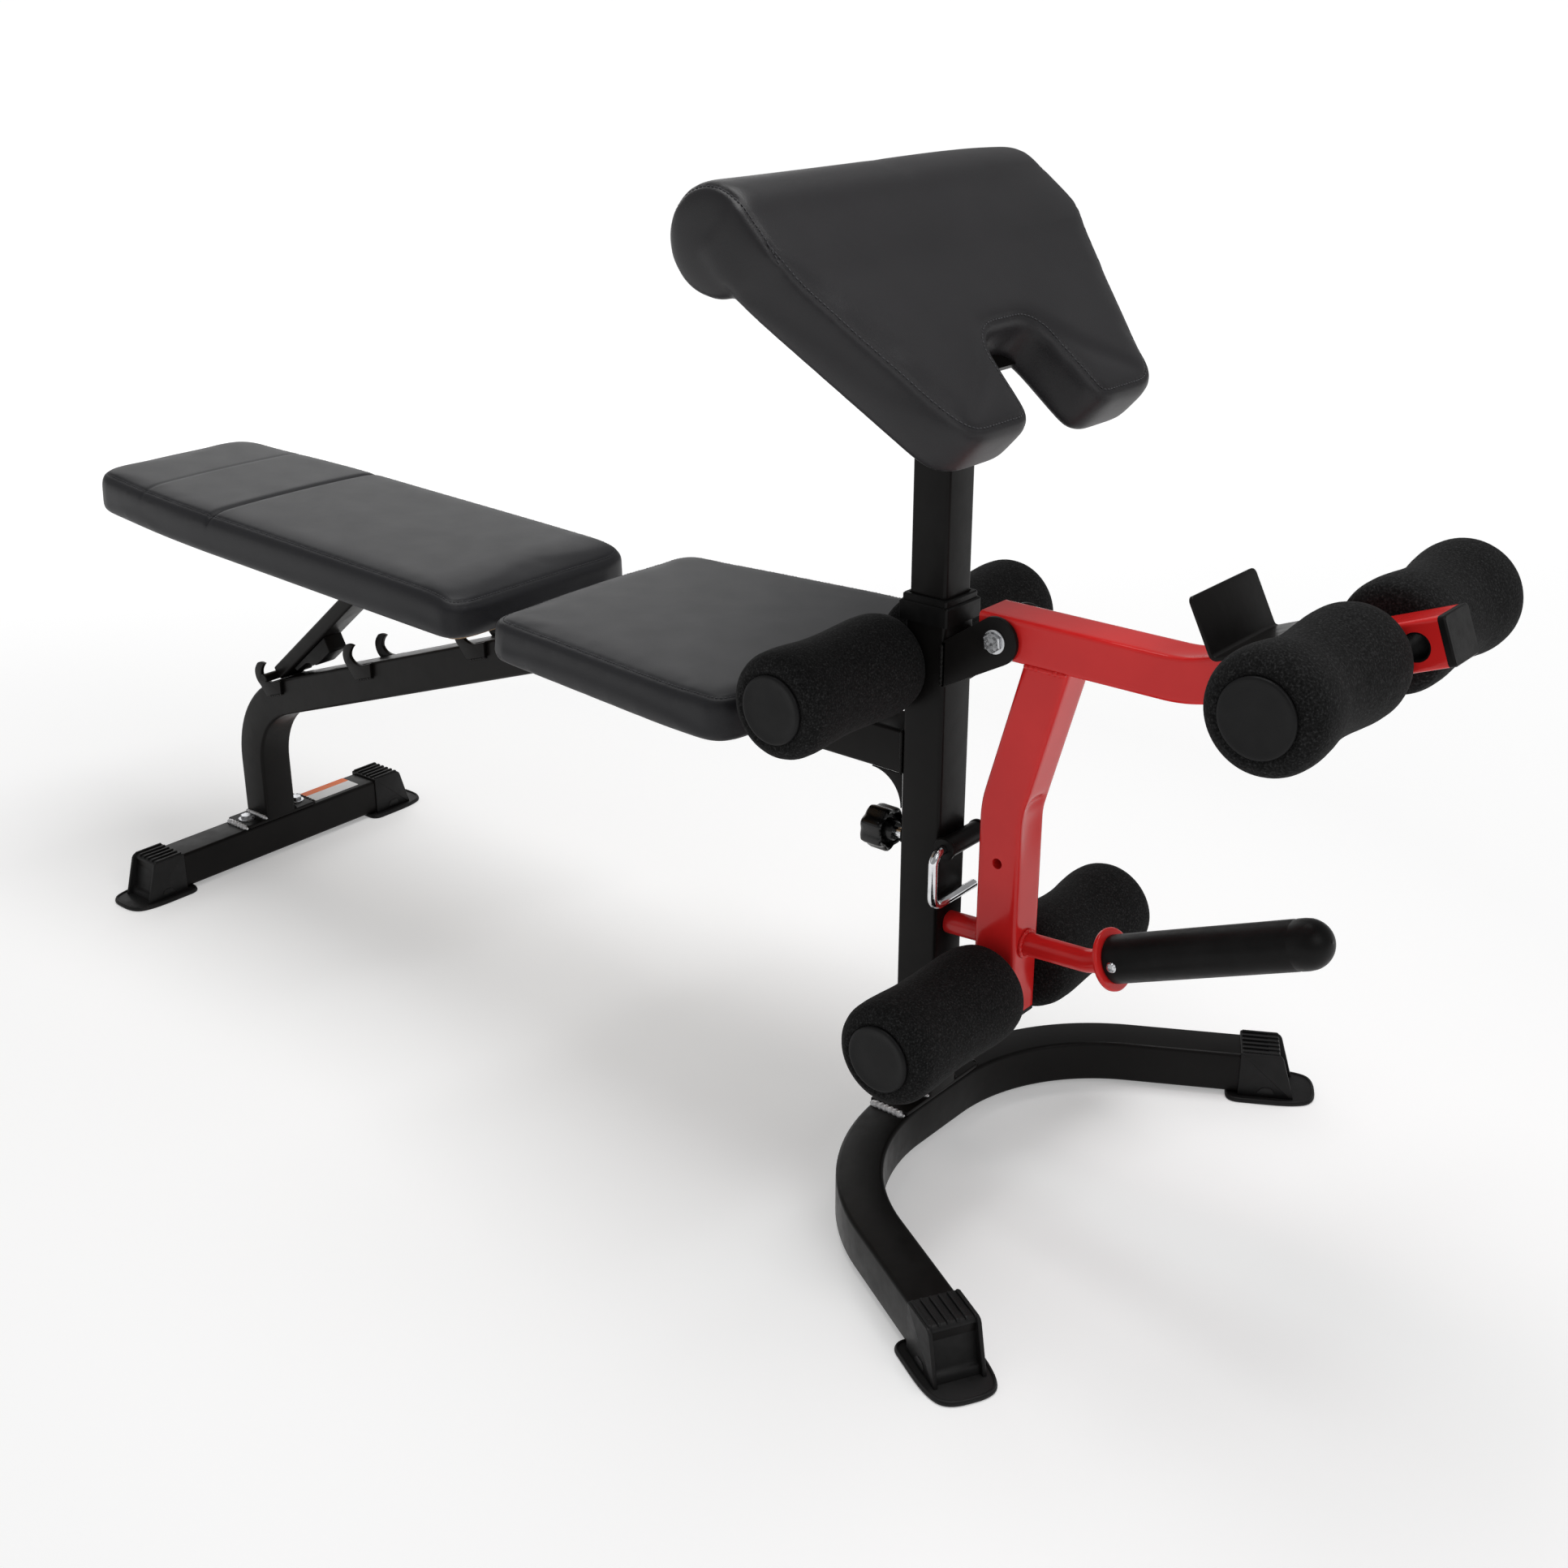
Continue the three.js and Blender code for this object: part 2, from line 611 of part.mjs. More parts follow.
function addPivot() {
  const shape = new THREE.Shape();
  const [x, z] = pivot;
  shape.moveTo(tubeHalf, 543);
  shape.lineTo(x + 25 * Math.cos(-1.1), z + 25 * Math.sin(-1.1));
  shape.absarc(x, z, 25, -1.1, 1.95);
  shape.lineTo(tubeHalf, 592);
  const [earInner, earOuter] = [tubeHalf + 1, tubeHalf + 6];
  const ears = [sideways(shape, -earOuter, -earInner), sideways(shape, earInner, earOuter)];
  const web = block([tubeHalf, -earOuter, 545], [tubeHalf + 5, earOuter, 592]);
  const bore = crossBar(x, z, axleRadius + gap, -acrossAll, acrossAll);
  add('pivot_bracket', cut(join(...ears, web), bore), blackSteel);
  const shank = crossBar(x, z, axleRadius, -earOuter - 2, earOuter + 14);
  const head = crossBar(x, z, 10.5, -earOuter - 8, -earOuter - gap, 6);
  add('pivot_bolt', join(shank, head), zincSteel);
  const nut = crossBar(x, z, 10.5, earOuter + gap, earOuter + 10, 6);
  add('pivot_nut', cut(nut, crossBar(x, z, axleRadius + gap, 20, 50)), zincSteel);
}


function addArm() {
  const endZ = armAt(armEndX);
  const line = [[armRear, pivotLevel], [armBendX, pivotLevel, 150], [armEndX, endZ]];
  const tube = bentTube(line, armHalf, -tubeHalf, tubeHalf, sideways);
  add('leg_arm', cut(
    tube,
    crossBar(...pivot, axleRadius + gap, -acrossAll, acrossAll),
    crossBar(armBar.x, armBar.z, barRadius + gap, -acrossAll, acrossAll),
    crossBar(spareHoleX, armAt(spareHoleX), barRadius + 0.8, -acrossAll, acrossAll),
  ), redSteel);

  const end = new THREE.Group();
  end.position.set(armEndX, 0, endZ);
  end.rotation.y = -armAngle;
  bench.add(end);
  const [plugHalf, plugY] = [armHalf - wall - gap, tubeHalf - wall - gap];
  add('arm_end_plug', join(
    block([gap, -tubeHalf, -armHalf], [7, tubeHalf, armHalf]),
    block([-4, -plugY, -plugHalf], [1, plugY, plugHalf]),
  ), blackPlastic, end);

  // Barbell catch: one bent plate, its foot on the rising arm and its flap leaning back.
  const { half, thick, from, foot, height, lean } = catchPlate;
  const low = armHalf + gap;
  const plate = outline([
    [from, low],
    [from + foot, low],
    [from + foot, low + thick],
    [from + thick, low + thick],
    [from + thick - lean, low + height],
    [from - lean, low + height],
  ]);
  add('bar_catch', sideways(plate, -half, half), blackSteel, end);
}

function addDownTube() {
  const lean = Math.tan(downLean);
  const topZ = pivotLevel - armHalf;
  const above30 = topZ + 30;
  const line = [[downX, downEnd], [downX, downBendZ, 100], [downX + (above30 - downBendZ) * lean, above30]];
  const tube = bentTube(line, tubeHalf, -armHalf, armHalf, sideways);
  const above = block([0, -60, topZ - gap], [300, 60, topZ + 80]);
  add('leg_down_tube', cut(
    tube,
    above,
    crossBar(pinAxis[0] + pinReach - 1, pinAxis[1] - 2, pinRadius + 1, -acrossAll, acrossAll),
    crossBar(shinBar.x, shinBar.z, barRadius + gap, -acrossAll, acrossAll),
    weightBarBody(barRadius + gap),
  ), redSteel);
  const [plugX, plugY] = [tubeHalf - wall - gap, armHalf - wall - gap];
  add('down_tube_plug', join(
    block([downX - tubeHalf, -armHalf, downEnd - 6], [downX + tubeHalf, armHalf, downEnd - gap]),
    block([downX - plugX, -plugY, downEnd - 1], [downX + plugX, plugY, downEnd + 10]),
  ), blackPlastic);
  const bars = [['arm_roller_bar', armBar], ['shin_roller_bar', shinBar]];
  bars.forEach(([name, bar]) => {
    const [outer, bore] = [bar.half - 22, barRadius - wall];
    add(name, cut(
      crossBar(bar.x, bar.z, barRadius, -outer, outer),
      crossBar(bar.x, bar.z, bore, -bar.half, bar.half),
    ), blackSteel);
  });
}

function weightBarBody(radius) {
  const points = weightBar.map(([x, z]) => [x, 0, z]);
  return wire(points, 24, radius, 16, 14);
}

function addWeightBar() {
  const [, bend, tip] = weightBar;
  const angle = Math.atan2(tip[1] - bend[1], tip[0] - bend[0]);
  const along = (distance) => [bend[0] + distance * Math.cos(angle), 0, bend[1] + distance * Math.sin(angle)];
  const ring = new THREE.CylinderGeometry(ringRadius, ringRadius, 5, 24);
  ring.rotateZ(-Math.PI / 2).rotateY(-angle).translate(...along(ringAlong));
  const bar = cut(join(weightBarBody(barRadius), ring), block([10, -40, 200], [weightBar[0][0], 40, 320]));
  add('weight_bar', bar, redSteel);

  const sleeve = new THREE.Group();
  sleeve.position.set(...along(ringAlong + 3));
  sleeve.rotation.y = -angle;
  bench.add(sleeve);
  const bore = barRadius + gap;
  const length = sleeveLength;
  const shell = turned([
    [bore, 0],
    [sleeveRadius, 0],
    [sleeveRadius, length],
    [sleeveRadius - 3, length + 13],
    [sleeveRadius - 11, length + 22],
    [0, length + 27],
    [0, length + 20],
    [bore, length + 16],
    [bore, 0],
  ], 24);
  add('weight_sleeve', shell.rotateZ(-Math.PI / 2), blackPlastic, sleeve);
}

// ---------- pin, knob and arm-curl pad ----------

function addLockPin() {
  const [x, z] = pinAxis;
  const points = [[x, 27, z], [x, -pinBend, z], [x, -pinBend, z - pinReach], [x, 27, z - pinReach]];
  add('lock_pin', wire(points, 12, pinRadius, 12, 30), zincSteel);
}

function addKnob() {
  const { z, radius, lobe, lobes, from, length } = knob;
  const steps = 6 * lobes;
  const points = Array.from({ length: steps }, (_, i) => {
    const angle = (2 * Math.PI * i) / steps;
    const reach = radius + lobe * Math.cos(lobes * angle);
    return [reach * Math.cos(angle), reach * Math.sin(angle)];
  });
  const grip = new THREE.ExtrudeGeometry(outline(points), { depth: length, bevelEnabled: false });
  grip.rotateY(-Math.PI / 2).translate(from + length, 0, z);
  const hub = longBar(from + length - 1, from + length + 7, z, 12);
  const screw = longBar(from + length - 3, -slideHalf - gap, z, axleRadius);
  add('height_knob', join(grip, hub, screw), blackPlastic);
}

// Outline of the arm-curl pad: s runs down the slope, and the lower edge has a notch for the body.
function padShape(inset, start, end) {
  const half = (s) => padTopHalf - inset - padTaper * Math.max(0, s - padStart);
  const [prong, notch] = [60 + inset, 42 + inset];
  const top = padNotch - inset;
  const shape = new THREE.Shape();
  shape.moveTo(start, -half(start));
  shape.lineTo(padStart, -half(padStart));
  shape.lineTo(end - 30, -half(end - 30));
  shape.quadraticCurveTo(end, -half(end) - 2, end, -half(end) + 32);
  shape.lineTo(end, -prong - 24);
  shape.quadraticCurveTo(end, -prong, end - 24, -prong + 6);
  shape.lineTo(top + 34, -notch);
  shape.quadraticCurveTo(top, -notch + 2, top, -notch + 26);
  shape.lineTo(top, notch - 26);
  shape.quadraticCurveTo(top, notch - 2, top + 34, notch);
  shape.lineTo(end - 24, prong - 6);
  shape.quadraticCurveTo(end, prong, end, prong + 24);
  shape.lineTo(end, half(end) - 32);
  shape.quadraticCurveTo(end, half(end) + 2, end - 30, half(end - 30));
  shape.lineTo(padStart, half(padStart));
  shape.lineTo(start, half(start));
  return shape;
}

function addCurlPad() {
  const pad = new THREE.Group();
  pad.position.set(0, 0, padZ);
  pad.rotation.y = padAngle;
  bench.add(pad);
  const boardTop = cushionBoard - padThick;
  const slab = upright(padShape(0, padRoll.s, padEnd), boardTop + gap, 0);
  const roll = crossBar(padRoll.s, padRoll.n, padRoll.radius, -padRoll.half, padRoll.half, 28);
  add('curl_pad', join(slab, roll), greyHide, pad);
  add('curl_board', upright(padShape(10, padStart + 2, padEnd - 10), -padThick, boardTop), plywood, pad);
  const under = -padThick - gap;
  const plate = block([-10, -60, under - 6], [116, 60, under]);
  add('curl_bracket', plate, blackSteel, pad);

  const hollow = slideHalf - wall;
  const post = cut(
    block([-slideHalf, -slideHalf, slideBottom], [slideHalf, slideHalf, padZ]),
    block([-hollow, -hollow, slideBottom - 5], [hollow, hollow, padZ + 5]),
    block([-200, -60, under - 6 - gap], [300, 60, 300]).rotateY(padAngle).translate(0, 0, padZ),
  );
  add('curl_post', post, blackSteel);
}

addBases();
addMainFrame();
addCollar();
addHooks();
addSeat();
addHingeBolt();
addBackrest();
addStrut();
addPivot();
addArm();
addDownTube();
addWeightBar();
addLockPin();
addKnob();
addCurlPad();
[['seat', seatBar], ['arm', armBar], ['shin', shinBar]].forEach(([name, bar]) => {
  addRoller(`${name}_roller_near`, bar, -1, bench);
  addRoller(`${name}_roller_far`, bar, 1, bench);
});

// The origin is under the middle of the whole bench.
const reach = new THREE.Box3().setFromObject(bench);
bench.position.x = -(reach.min.x + reach.max.x) / 2;

export default bench;
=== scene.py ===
import math
import bmesh
import bpy
import numpy as np
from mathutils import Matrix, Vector
from mathutils.bvhtree import BVHTree


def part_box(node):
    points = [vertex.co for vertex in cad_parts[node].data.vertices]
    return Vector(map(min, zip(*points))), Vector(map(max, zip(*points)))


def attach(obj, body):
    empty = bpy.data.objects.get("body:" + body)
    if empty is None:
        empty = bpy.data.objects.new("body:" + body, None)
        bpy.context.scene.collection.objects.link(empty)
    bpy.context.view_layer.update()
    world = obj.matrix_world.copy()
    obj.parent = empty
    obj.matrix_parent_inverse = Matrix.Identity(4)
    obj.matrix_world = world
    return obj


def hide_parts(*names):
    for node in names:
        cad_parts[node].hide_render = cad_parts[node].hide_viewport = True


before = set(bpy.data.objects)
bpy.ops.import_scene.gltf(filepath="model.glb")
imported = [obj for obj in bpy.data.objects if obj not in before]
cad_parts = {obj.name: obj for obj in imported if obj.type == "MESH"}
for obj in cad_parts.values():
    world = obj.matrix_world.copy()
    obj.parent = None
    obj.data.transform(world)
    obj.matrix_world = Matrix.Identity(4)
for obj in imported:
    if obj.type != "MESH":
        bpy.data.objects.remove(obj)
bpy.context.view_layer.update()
print("frame loaded")

# Places are in metres. Along the bench they count from the middle of the front post.
postLow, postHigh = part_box("curl_post")
postX = (postLow.x + postHigh.x) / 2
acrossY = (0.0, 1.0, 0.0)
alongX = (1.0, 0.0, 0.0)
upZ = (0.0, 0.0, 1.0)
sides = ((-1, "Near"), (1, "Far"))  # near is towards -Y


def gridFaces(rows, columns):
    # quads of a grid that closes on itself around its columns
    first = (np.arange(rows - 1)[:, None] * columns + np.arange(columns)).ravel()
    second = (np.arange(rows - 1)[:, None] * columns + (np.arange(columns) + 1) % columns).ravel()
    return np.stack([first, second, second + columns, first + columns], 1).tolist()


def loft(rings):
    # rings of points, one after another, joined by quads, with a flat cap on the first and the last
    rings = np.asarray(rings, float)
    rows, columns = rings.shape[:2]
    faces = gridFaces(rows, columns)
    faces.append(list(range(columns))[::-1])
    faces.append([(rows - 1) * columns + i for i in range(columns)])
    return rings.reshape(-1, 3), faces


def ringLoft(rings):
    # the same with its last ring joined to its first, for a shape with a hole through it
    rings = np.asarray(rings, float)
    rows, columns = rings.shape[:2]
    closed = np.concatenate([rings, rings[:1]])
    faces = np.array(gridFaces(rows + 1, columns)) % (rows * columns)
    return closed[:rows].reshape(-1, 3), faces.tolist()


def together(*shapes):
    # several shapes as one
    count, points, faces = 0, [], []
    for shapePoints, shapeFaces in shapes:
        points.append(shapePoints)
        faces += [[i + count for i in face] for face in shapeFaces]
        count += len(shapePoints)
    return np.concatenate(points), faces


def unit(vectors):
    # each vector divided by its own length
    return vectors / np.linalg.norm(vectors, axis=-1, keepdims=True)


def lengthAlong(points):
    # how far each point is from the first one, along the line
    return np.concatenate([[0], np.cumsum(np.linalg.norm(np.diff(points, axis=0), axis=1))])


def walk(points, distances):
    # the points at these distances along a line
    length = lengthAlong(points)
    return np.stack([np.interp(distances, length, points[:, k]) for k in range(points.shape[1])], 1)


def upright(line):
    # a line of (x, z) stood in the plane along the middle of the bench
    return np.stack([line[:, 0], 0 * line[:, 0], line[:, 1]], 1)


def lifted(outline, height):
    # a line of (x, y) laid level at a height
    return np.column_stack([outline, np.full(len(outline), height)])


def roundedPath(corners, steps=12):
    # a line through corners (a, b, radius), each corner replaced by an arc of its radius
    at = np.array([corner[:2] for corner in corners], float)
    points = [at[0]]
    for i in range(1, len(at) - 1):
        before, after = unit(at[i] - at[i - 1]), unit(at[i + 1] - at[i])
        turn = math.atan2(before[0] * after[1] - before[1] * after[0], before @ after)
        side = np.sign(turn) * corners[i][2] * np.array([-before[1], before[0]])
        start = at[i] - before * corners[i][2] * math.tan(abs(turn) / 2)
        angles = turn * np.arange(steps + 1) / steps
        cosine, sine = np.cos(angles)[:, None], np.sin(angles)[:, None]
        spoke = -side
        points += list(start + side + cosine * spoke + sine * np.array([-spoke[1], spoke[0]]))
    points.append(at[-1])
    return np.array(points)


def roundedOutline(corners, steps=6):
    # a closed outline through corners (a, b, radius), each one cut by a parabola that starts a radius away
    at = np.array([corner[:2] for corner in corners], float)
    points = []
    share = np.linspace(0, 1, steps + 1)[:, None]
    for i, corner in enumerate(corners):
        toLast, toNext = at[i - 1] - at[i], at[(i + 1) % len(at)] - at[i]
        start = at[i] + unit(toLast) * min(corner[2], 0.49 * np.linalg.norm(toLast))
        end = at[i] + unit(toNext) * min(corner[2], 0.49 * np.linalg.norm(toNext))
        points += list((1 - share) ** 2 * start + 2 * share * (1 - share) * at[i] + share ** 2 * end)
    return np.array(points)


def resample(outline, spacing):
    # the same closed outline with points at an even spacing
    closed = np.vstack([outline, outline[:1]])
    total = lengthAlong(closed)[-1]
    return walk(closed, np.linspace(0, total, int(total / spacing), endpoint=False))


def roundedBox(halfA, halfB, radius, steps=4, between=0):
    # a rectangle with round corners, and points between them where its faces are to be shaped
    angles = np.linspace(0, math.pi / 2, steps + 1)
    quarters = [(halfA, halfB, 0), (-halfA, halfB, 1), (-halfA, -halfB, 2), (halfA, -halfB, 3)]
    points = [[a - np.sign(a) * radius + radius * math.cos(angle + turn * math.pi / 2),
               b - np.sign(b) * radius + radius * math.sin(angle + turn * math.pi / 2)]
              for a, b, turn in quarters for angle in angles]
    if not between:
        return np.array(points)
    share = np.arange(1, between + 1)[:, None] / (between + 1)
    dense = []
    for i, point in enumerate(points):
        dense.append(point)
        if i % (steps + 1) == steps:
            last = points[(i + 1) % len(points)]
            dense += list(np.array(point) + share * (np.array(last) - point))
    return np.array(dense)


def circle(radius, count=32):
    # points at even angles, each at (radius times cosine, radius times sine)
    angles = np.linspace(0, 2 * math.pi, count, endpoint=False)
    return radius * np.stack([np.cos(angles), np.sin(angles)], 1)


def sweep(path, section, side, scale=None):
    # a section carried along a path; side is the fixed direction of its first coordinate
    path, side = np.asarray(path, float), np.asarray(side, float)
    along = unit(np.gradient(path, axis=0))
    normal = unit(np.cross(side, along))
    size = np.ones(len(path)) if scale is None else scale
    first = section[None, :, :1] * size[:, None, None] * side
    second = section[None, :, 1:] * size[:, None, None] * normal[:, None, :]
    return loft(path[:, None, :] + first + second)


def inward(outline):
    # for each point of a closed outline, the way in, as long as keeps the sides at distance 1
    before = unit(outline - np.roll(outline, 1, 0))
    after = unit(np.roll(outline, -1, 0) - outline)
    area = np.sum(outline[:, 0] * np.roll(outline[:, 1], -1) - outline[:, 1] * np.roll(outline[:, 0], -1))
    turn = np.sign(area)
    normals = [turn * np.stack([-edge[:, 1], edge[:, 0]], 1) for edge in (before, after)]
    middle = normals[0] + normals[1]
    return middle / np.maximum(np.sum(middle * normals[0], 1, keepdims=True), 0.5)


def slab(outline, low, high, edge, plane="xz", steps=3):
    # an outline with thickness, its rims rounded by quarter circles of the edge's radius
    way = inward(outline)
    angles = np.linspace(0, math.pi / 2, steps + 1)
    rise, inset = edge * (1 - np.cos(angles)), edge * (1 - np.sin(angles))
    heights = np.concatenate([low + rise, high - rise[::-1]])
    insets = np.concatenate([inset, inset[::-1]])
    flat = outline[None] + insets[:, None, None] * way[None]
    height = np.broadcast_to(heights[:, None, None], flat.shape[:2] + (1,))
    rings = np.concatenate([flat, height], 2)
    return loft(rings if plane == "xy" else rings[:, :, [0, 2, 1]])


def lathe(profile, centre, axis, count=48):
    # a profile of (radius, distance along the axis) turned about that axis
    profile, axis = np.asarray(profile, float), unit(np.asarray(axis, float))
    side = unit(np.cross(axis, (0.31, 0.52, 0.79)))
    other = np.cross(axis, side)
    ring = circle(1.0, count)
    spokes = ring[:, :1] * side + ring[:, 1:] * other
    rings = np.asarray(centre, float) + profile[:, 1, None, None] * axis + profile[:, 0, None, None] * spokes
    return loft(rings)


def smoothProfile(points, samples):
    # a smooth curve through a few (radius, along) points, evenly spaced along the axis
    points = np.array(points, float)
    along = np.linspace(points[0, 1], points[-1, 1], samples)
    slopes = np.gradient(points[:, 0], points[:, 1])
    i = np.clip(np.searchsorted(points[:, 1], along) - 1, 0, len(points) - 2)
    width = points[i + 1, 1] - points[i, 1]
    t = (along - points[i, 1]) / width
    radius = ((2 * t ** 3 - 3 * t ** 2 + 1) * points[i, 0] + (t ** 3 - 2 * t ** 2 + t) * width * slopes[i]
              + (3 * t ** 2 - 2 * t ** 3) * points[i + 1, 0] + (t ** 3 - t ** 2) * width * slopes[i + 1])
    return np.stack([radius, along], 1)


def at(shape, centre, pitch=0.0, heading=0.0):
    # turns a shape about the cross axis by pitch, then about the upright axis by heading, then moves it
    points, faces = shape
    cosine, sine = math.cos(pitch), math.sin(pitch)
    x, y = points[:, 0] * cosine + points[:, 2] * sine, points[:, 1]
    z = points[:, 2] * cosine - points[:, 0] * sine
    cosine, sine = math.cos(heading), math.sin(heading)
    turned = np.stack([x * cosine - y * sine, x * sine + y * cosine, z], 1)
    return turned + np.asarray(centre, float), faces


def moved(points, centre, pitch):
    # the same turn and move for bare points
    return at((points, None), centre, pitch)[0]


def fromPost(shape):
    # moves a shape drawn from the front post to its place in the frame
    return at(shape, (postX, 0, 0))


def bushing(profile, x, z):
    # a profile of (radius, across) turned about the cross axis at (x, z), with a hole through it
    return fromPost(ringLoft([upright(circle(radius) + (x, z)) + (0, y, 0) for radius, y in profile]))


def meshOf(name, shape):
    # doubles merged, faces pointing out
    mesh = bpy.data.meshes.new(name)
    mesh.from_pydata(shape[0].tolist(), [], shape[1])
    work = bmesh.new()
    work.from_mesh(mesh)
    bmesh.ops.remove_doubles(work, verts=work.verts, dist=1e-6)
    bmesh.ops.recalc_face_normals(work, faces=work.faces)
    work.to_mesh(mesh)
    work.free()
    return mesh


def newObject(name, data):
    obj = bpy.data.objects.new(name, data)
    bpy.context.scene.collection.objects.link(obj)
    return obj


def smooth(mesh, angle=35):
    # soft shading, with edges sharper than the angle left crisp
    mesh.polygons.foreach_set("use_smooth", np.ones(len(mesh.polygons), bool))
    mesh.set_sharp_from_angle(angle=math.radians(angle))


def piece(name, shape, material, body, stands=(), angle=35):
    # a finished part of the bench: it rides on its body and stands for the plain nodes named in stands
    obj = newObject(name, meshOf(name, shape))
    smooth(obj.data, angle)
    obj.data.materials.append(material)
    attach(obj, body)
    if stands:
        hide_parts(*stands)
    return obj


def bake(obj):
    # its modifiers worked into its mesh
    bpy.context.view_layer.update()
    made = bpy.data.meshes.new_from_object(obj.evaluated_get(bpy.context.evaluated_depsgraph_get()))
    obj.modifiers.clear()
    obj.data = made


def cutHoles(obj, tools):
    # drills closed shapes out of a piece
    for tool in tools:
        cutter = newObject("cutter", meshOf("cutter", tool))
        boolean = obj.modifiers.new("drill", "BOOLEAN")
        boolean.object = cutter
        boolean.solver = "EXACT"
        bake(obj)
        bpy.data.objects.remove(cutter)
    smooth(obj.data)


def newMaterial(name):
    material = bpy.data.materials.new(name)
    material.use_nodes = True
    tree = material.node_tree
    shader = tree.nodes["Principled BSDF"]
    coordinates = tree.nodes.new("ShaderNodeTexCoord").outputs["Object"]
    return material, tree, shader, coordinates


def noise(tree, coordinates, scale, detail=4.0, stretch=None):
    node = tree.nodes.new("ShaderNodeTexNoise")
    node.inputs["Scale"].default_value = scale
    node.inputs["Detail"].default_value = detail
    if stretch:
        mapping = tree.nodes.new("ShaderNodeMapping")
        mapping.inputs["Scale"].default_value = stretch
        tree.links.new(coordinates, mapping.inputs["Vector"])
        coordinates = mapping.outputs["Vector"]
    tree.links.new(coordinates, node.inputs["Vector"])
    return node.outputs["Fac"]


def ramp(tree, value, stops):
    node = tree.nodes.new("ShaderNodeValToRGB")
    elements = node.color_ramp.elements
    for element, (place, colour) in zip(elements, (stops[0], stops[-1])):
        element.position, element.color = place, (*colour, 1)
    for place, colour in stops[1:-1]:
        elements.new(place).color = (*colour, 1)
    tree.links.new(value, node.inputs["Fac"])
    return node.outputs["Color"]


def levels(tree, value, low, high, fromLow=0.3, fromHigh=0.7):
    node = tree.nodes.new("ShaderNodeMapRange")
    for name, number in (("From Min", fromLow), ("From Max", fromHigh), ("To Min", low), ("To Max", high)):
        node.inputs[name].default_value = number
    tree.links.new(value, node.inputs["Value"])
    return node.outputs["Result"]


def addBump(tree, shader, heights):
    # heights are (value, distance in metres), the coarse ones first
    normal = None
    for value, distance in heights:
        node = tree.nodes.new("ShaderNodeBump")
        node.inputs["Distance"].default_value = distance
        tree.links.new(value, node.inputs["Height"])
        if normal:
            tree.links.new(normal, node.inputs["Normal"])
        normal = node.outputs["Normal"]
    tree.links.new(normal, shader.inputs["Normal"])


def mottled(name, mottle, stops, scuff, roughness, shine):
    # how most finishes start: a colour from one noise and a roughness from another, each (scale, detail)
    material, tree, shader, coordinates = newMaterial(name)
    colour = ramp(tree, noise(tree, coordinates, *mottle), stops)
    tree.links.new(colour, shader.inputs["Base Color"])
    rough = levels(tree, noise(tree, coordinates, *scuff), *roughness)
    tree.links.new(rough, shader.inputs["Roughness"])
    shader.inputs["Specular IOR Level"].default_value = shine
    return material, tree, shader, coordinates


def paint(name, dark, light, roughness, shine, coat=0.0, peel=0.00004):
    # sprayed finish: orange peel, faint mottling and a little dust in the roughness
    material, tree, shader, coordinates = mottled(name, (14, 4), [(0.3, dark), (0.7, light)], (60, 6),
                                                  (roughness - 0.05, roughness + 0.06), shine)
    shader.inputs["Coat Weight"].default_value = coat
    shader.inputs["Coat Roughness"].default_value = 0.12
    broad = noise(tree, coordinates, 30, 2)
    addBump(tree, shader, [(broad, 0.0003), (noise(tree, coordinates, 420, 3), peel)])
    return material


def hide(name, dark, light, roughness, shine):
    # coated cloth: pebbled grain with finer pores, soft undulation and slight polish marks
    material, tree, shader, coordinates = mottled(name, (9, 5), [(0.3, dark), (0.72, light)], (26, 6),
                                                  (roughness - 0.015, roughness + 0.02), shine)
    cells = tree.nodes.new("ShaderNodeTexVoronoi")
    cells.feature = "DISTANCE_TO_EDGE"
    cells.inputs["Scale"].default_value = 620
    warp = noise(tree, coordinates, 240, 2)
    mix = tree.nodes.new("ShaderNodeMix")
    mix.data_type = "VECTOR"
    mix.inputs["Factor"].default_value = 0.004
    tree.links.new(coordinates, mix.inputs[4])
    tree.links.new(warp, mix.inputs[5])
    tree.links.new(mix.outputs[1], cells.inputs["Vector"])
    heights = [(noise(tree, coordinates, 12, 1), 0.0006), (cells.outputs["Distance"], 0.00014)]
    addBump(tree, shader, heights + [(noise(tree, coordinates, 900, 2), 0.00006)])
    return material


def foam(name):
    # closed-cell foam skin: dark, with a salt-and-pepper speckle and shallow dents
    material, tree, shader, coordinates = newMaterial(name)
    speckle = noise(tree, coordinates, 520, 8)
    stops = [(0.38, (0.004, 0.004, 0.004)), (0.55, (0.011, 0.011, 0.0112)), (0.74, (0.034, 0.034, 0.0345))]
    tree.links.new(ramp(tree, speckle, stops), shader.inputs["Base Color"])
    shader.inputs["Roughness"].default_value = 0.92
    shader.inputs["Specular IOR Level"].default_value = 0.1
    shader.inputs["Sheen Weight"].default_value = 0.02
    addBump(tree, shader, [(noise(tree, coordinates, 70, 3), 0.0011), (speckle, 0.0006)])
    return material


def plastic(name, dark, light, roughness, grain=700, depth=0.00006, shine=0.12):
    # moulded plastic or rubber with a fine spark-eroded grain
    material, tree, shader, coordinates = mottled(name, (35, 4), [(0.3, dark), (0.7, light)], (110, 5),
                                                  (roughness - 0.06, roughness + 0.06), shine)
    broad = noise(tree, coordinates, 45, 2)
    addBump(tree, shader, [(broad, 0.0002), (noise(tree, coordinates, grain, 3), depth)])
    return material


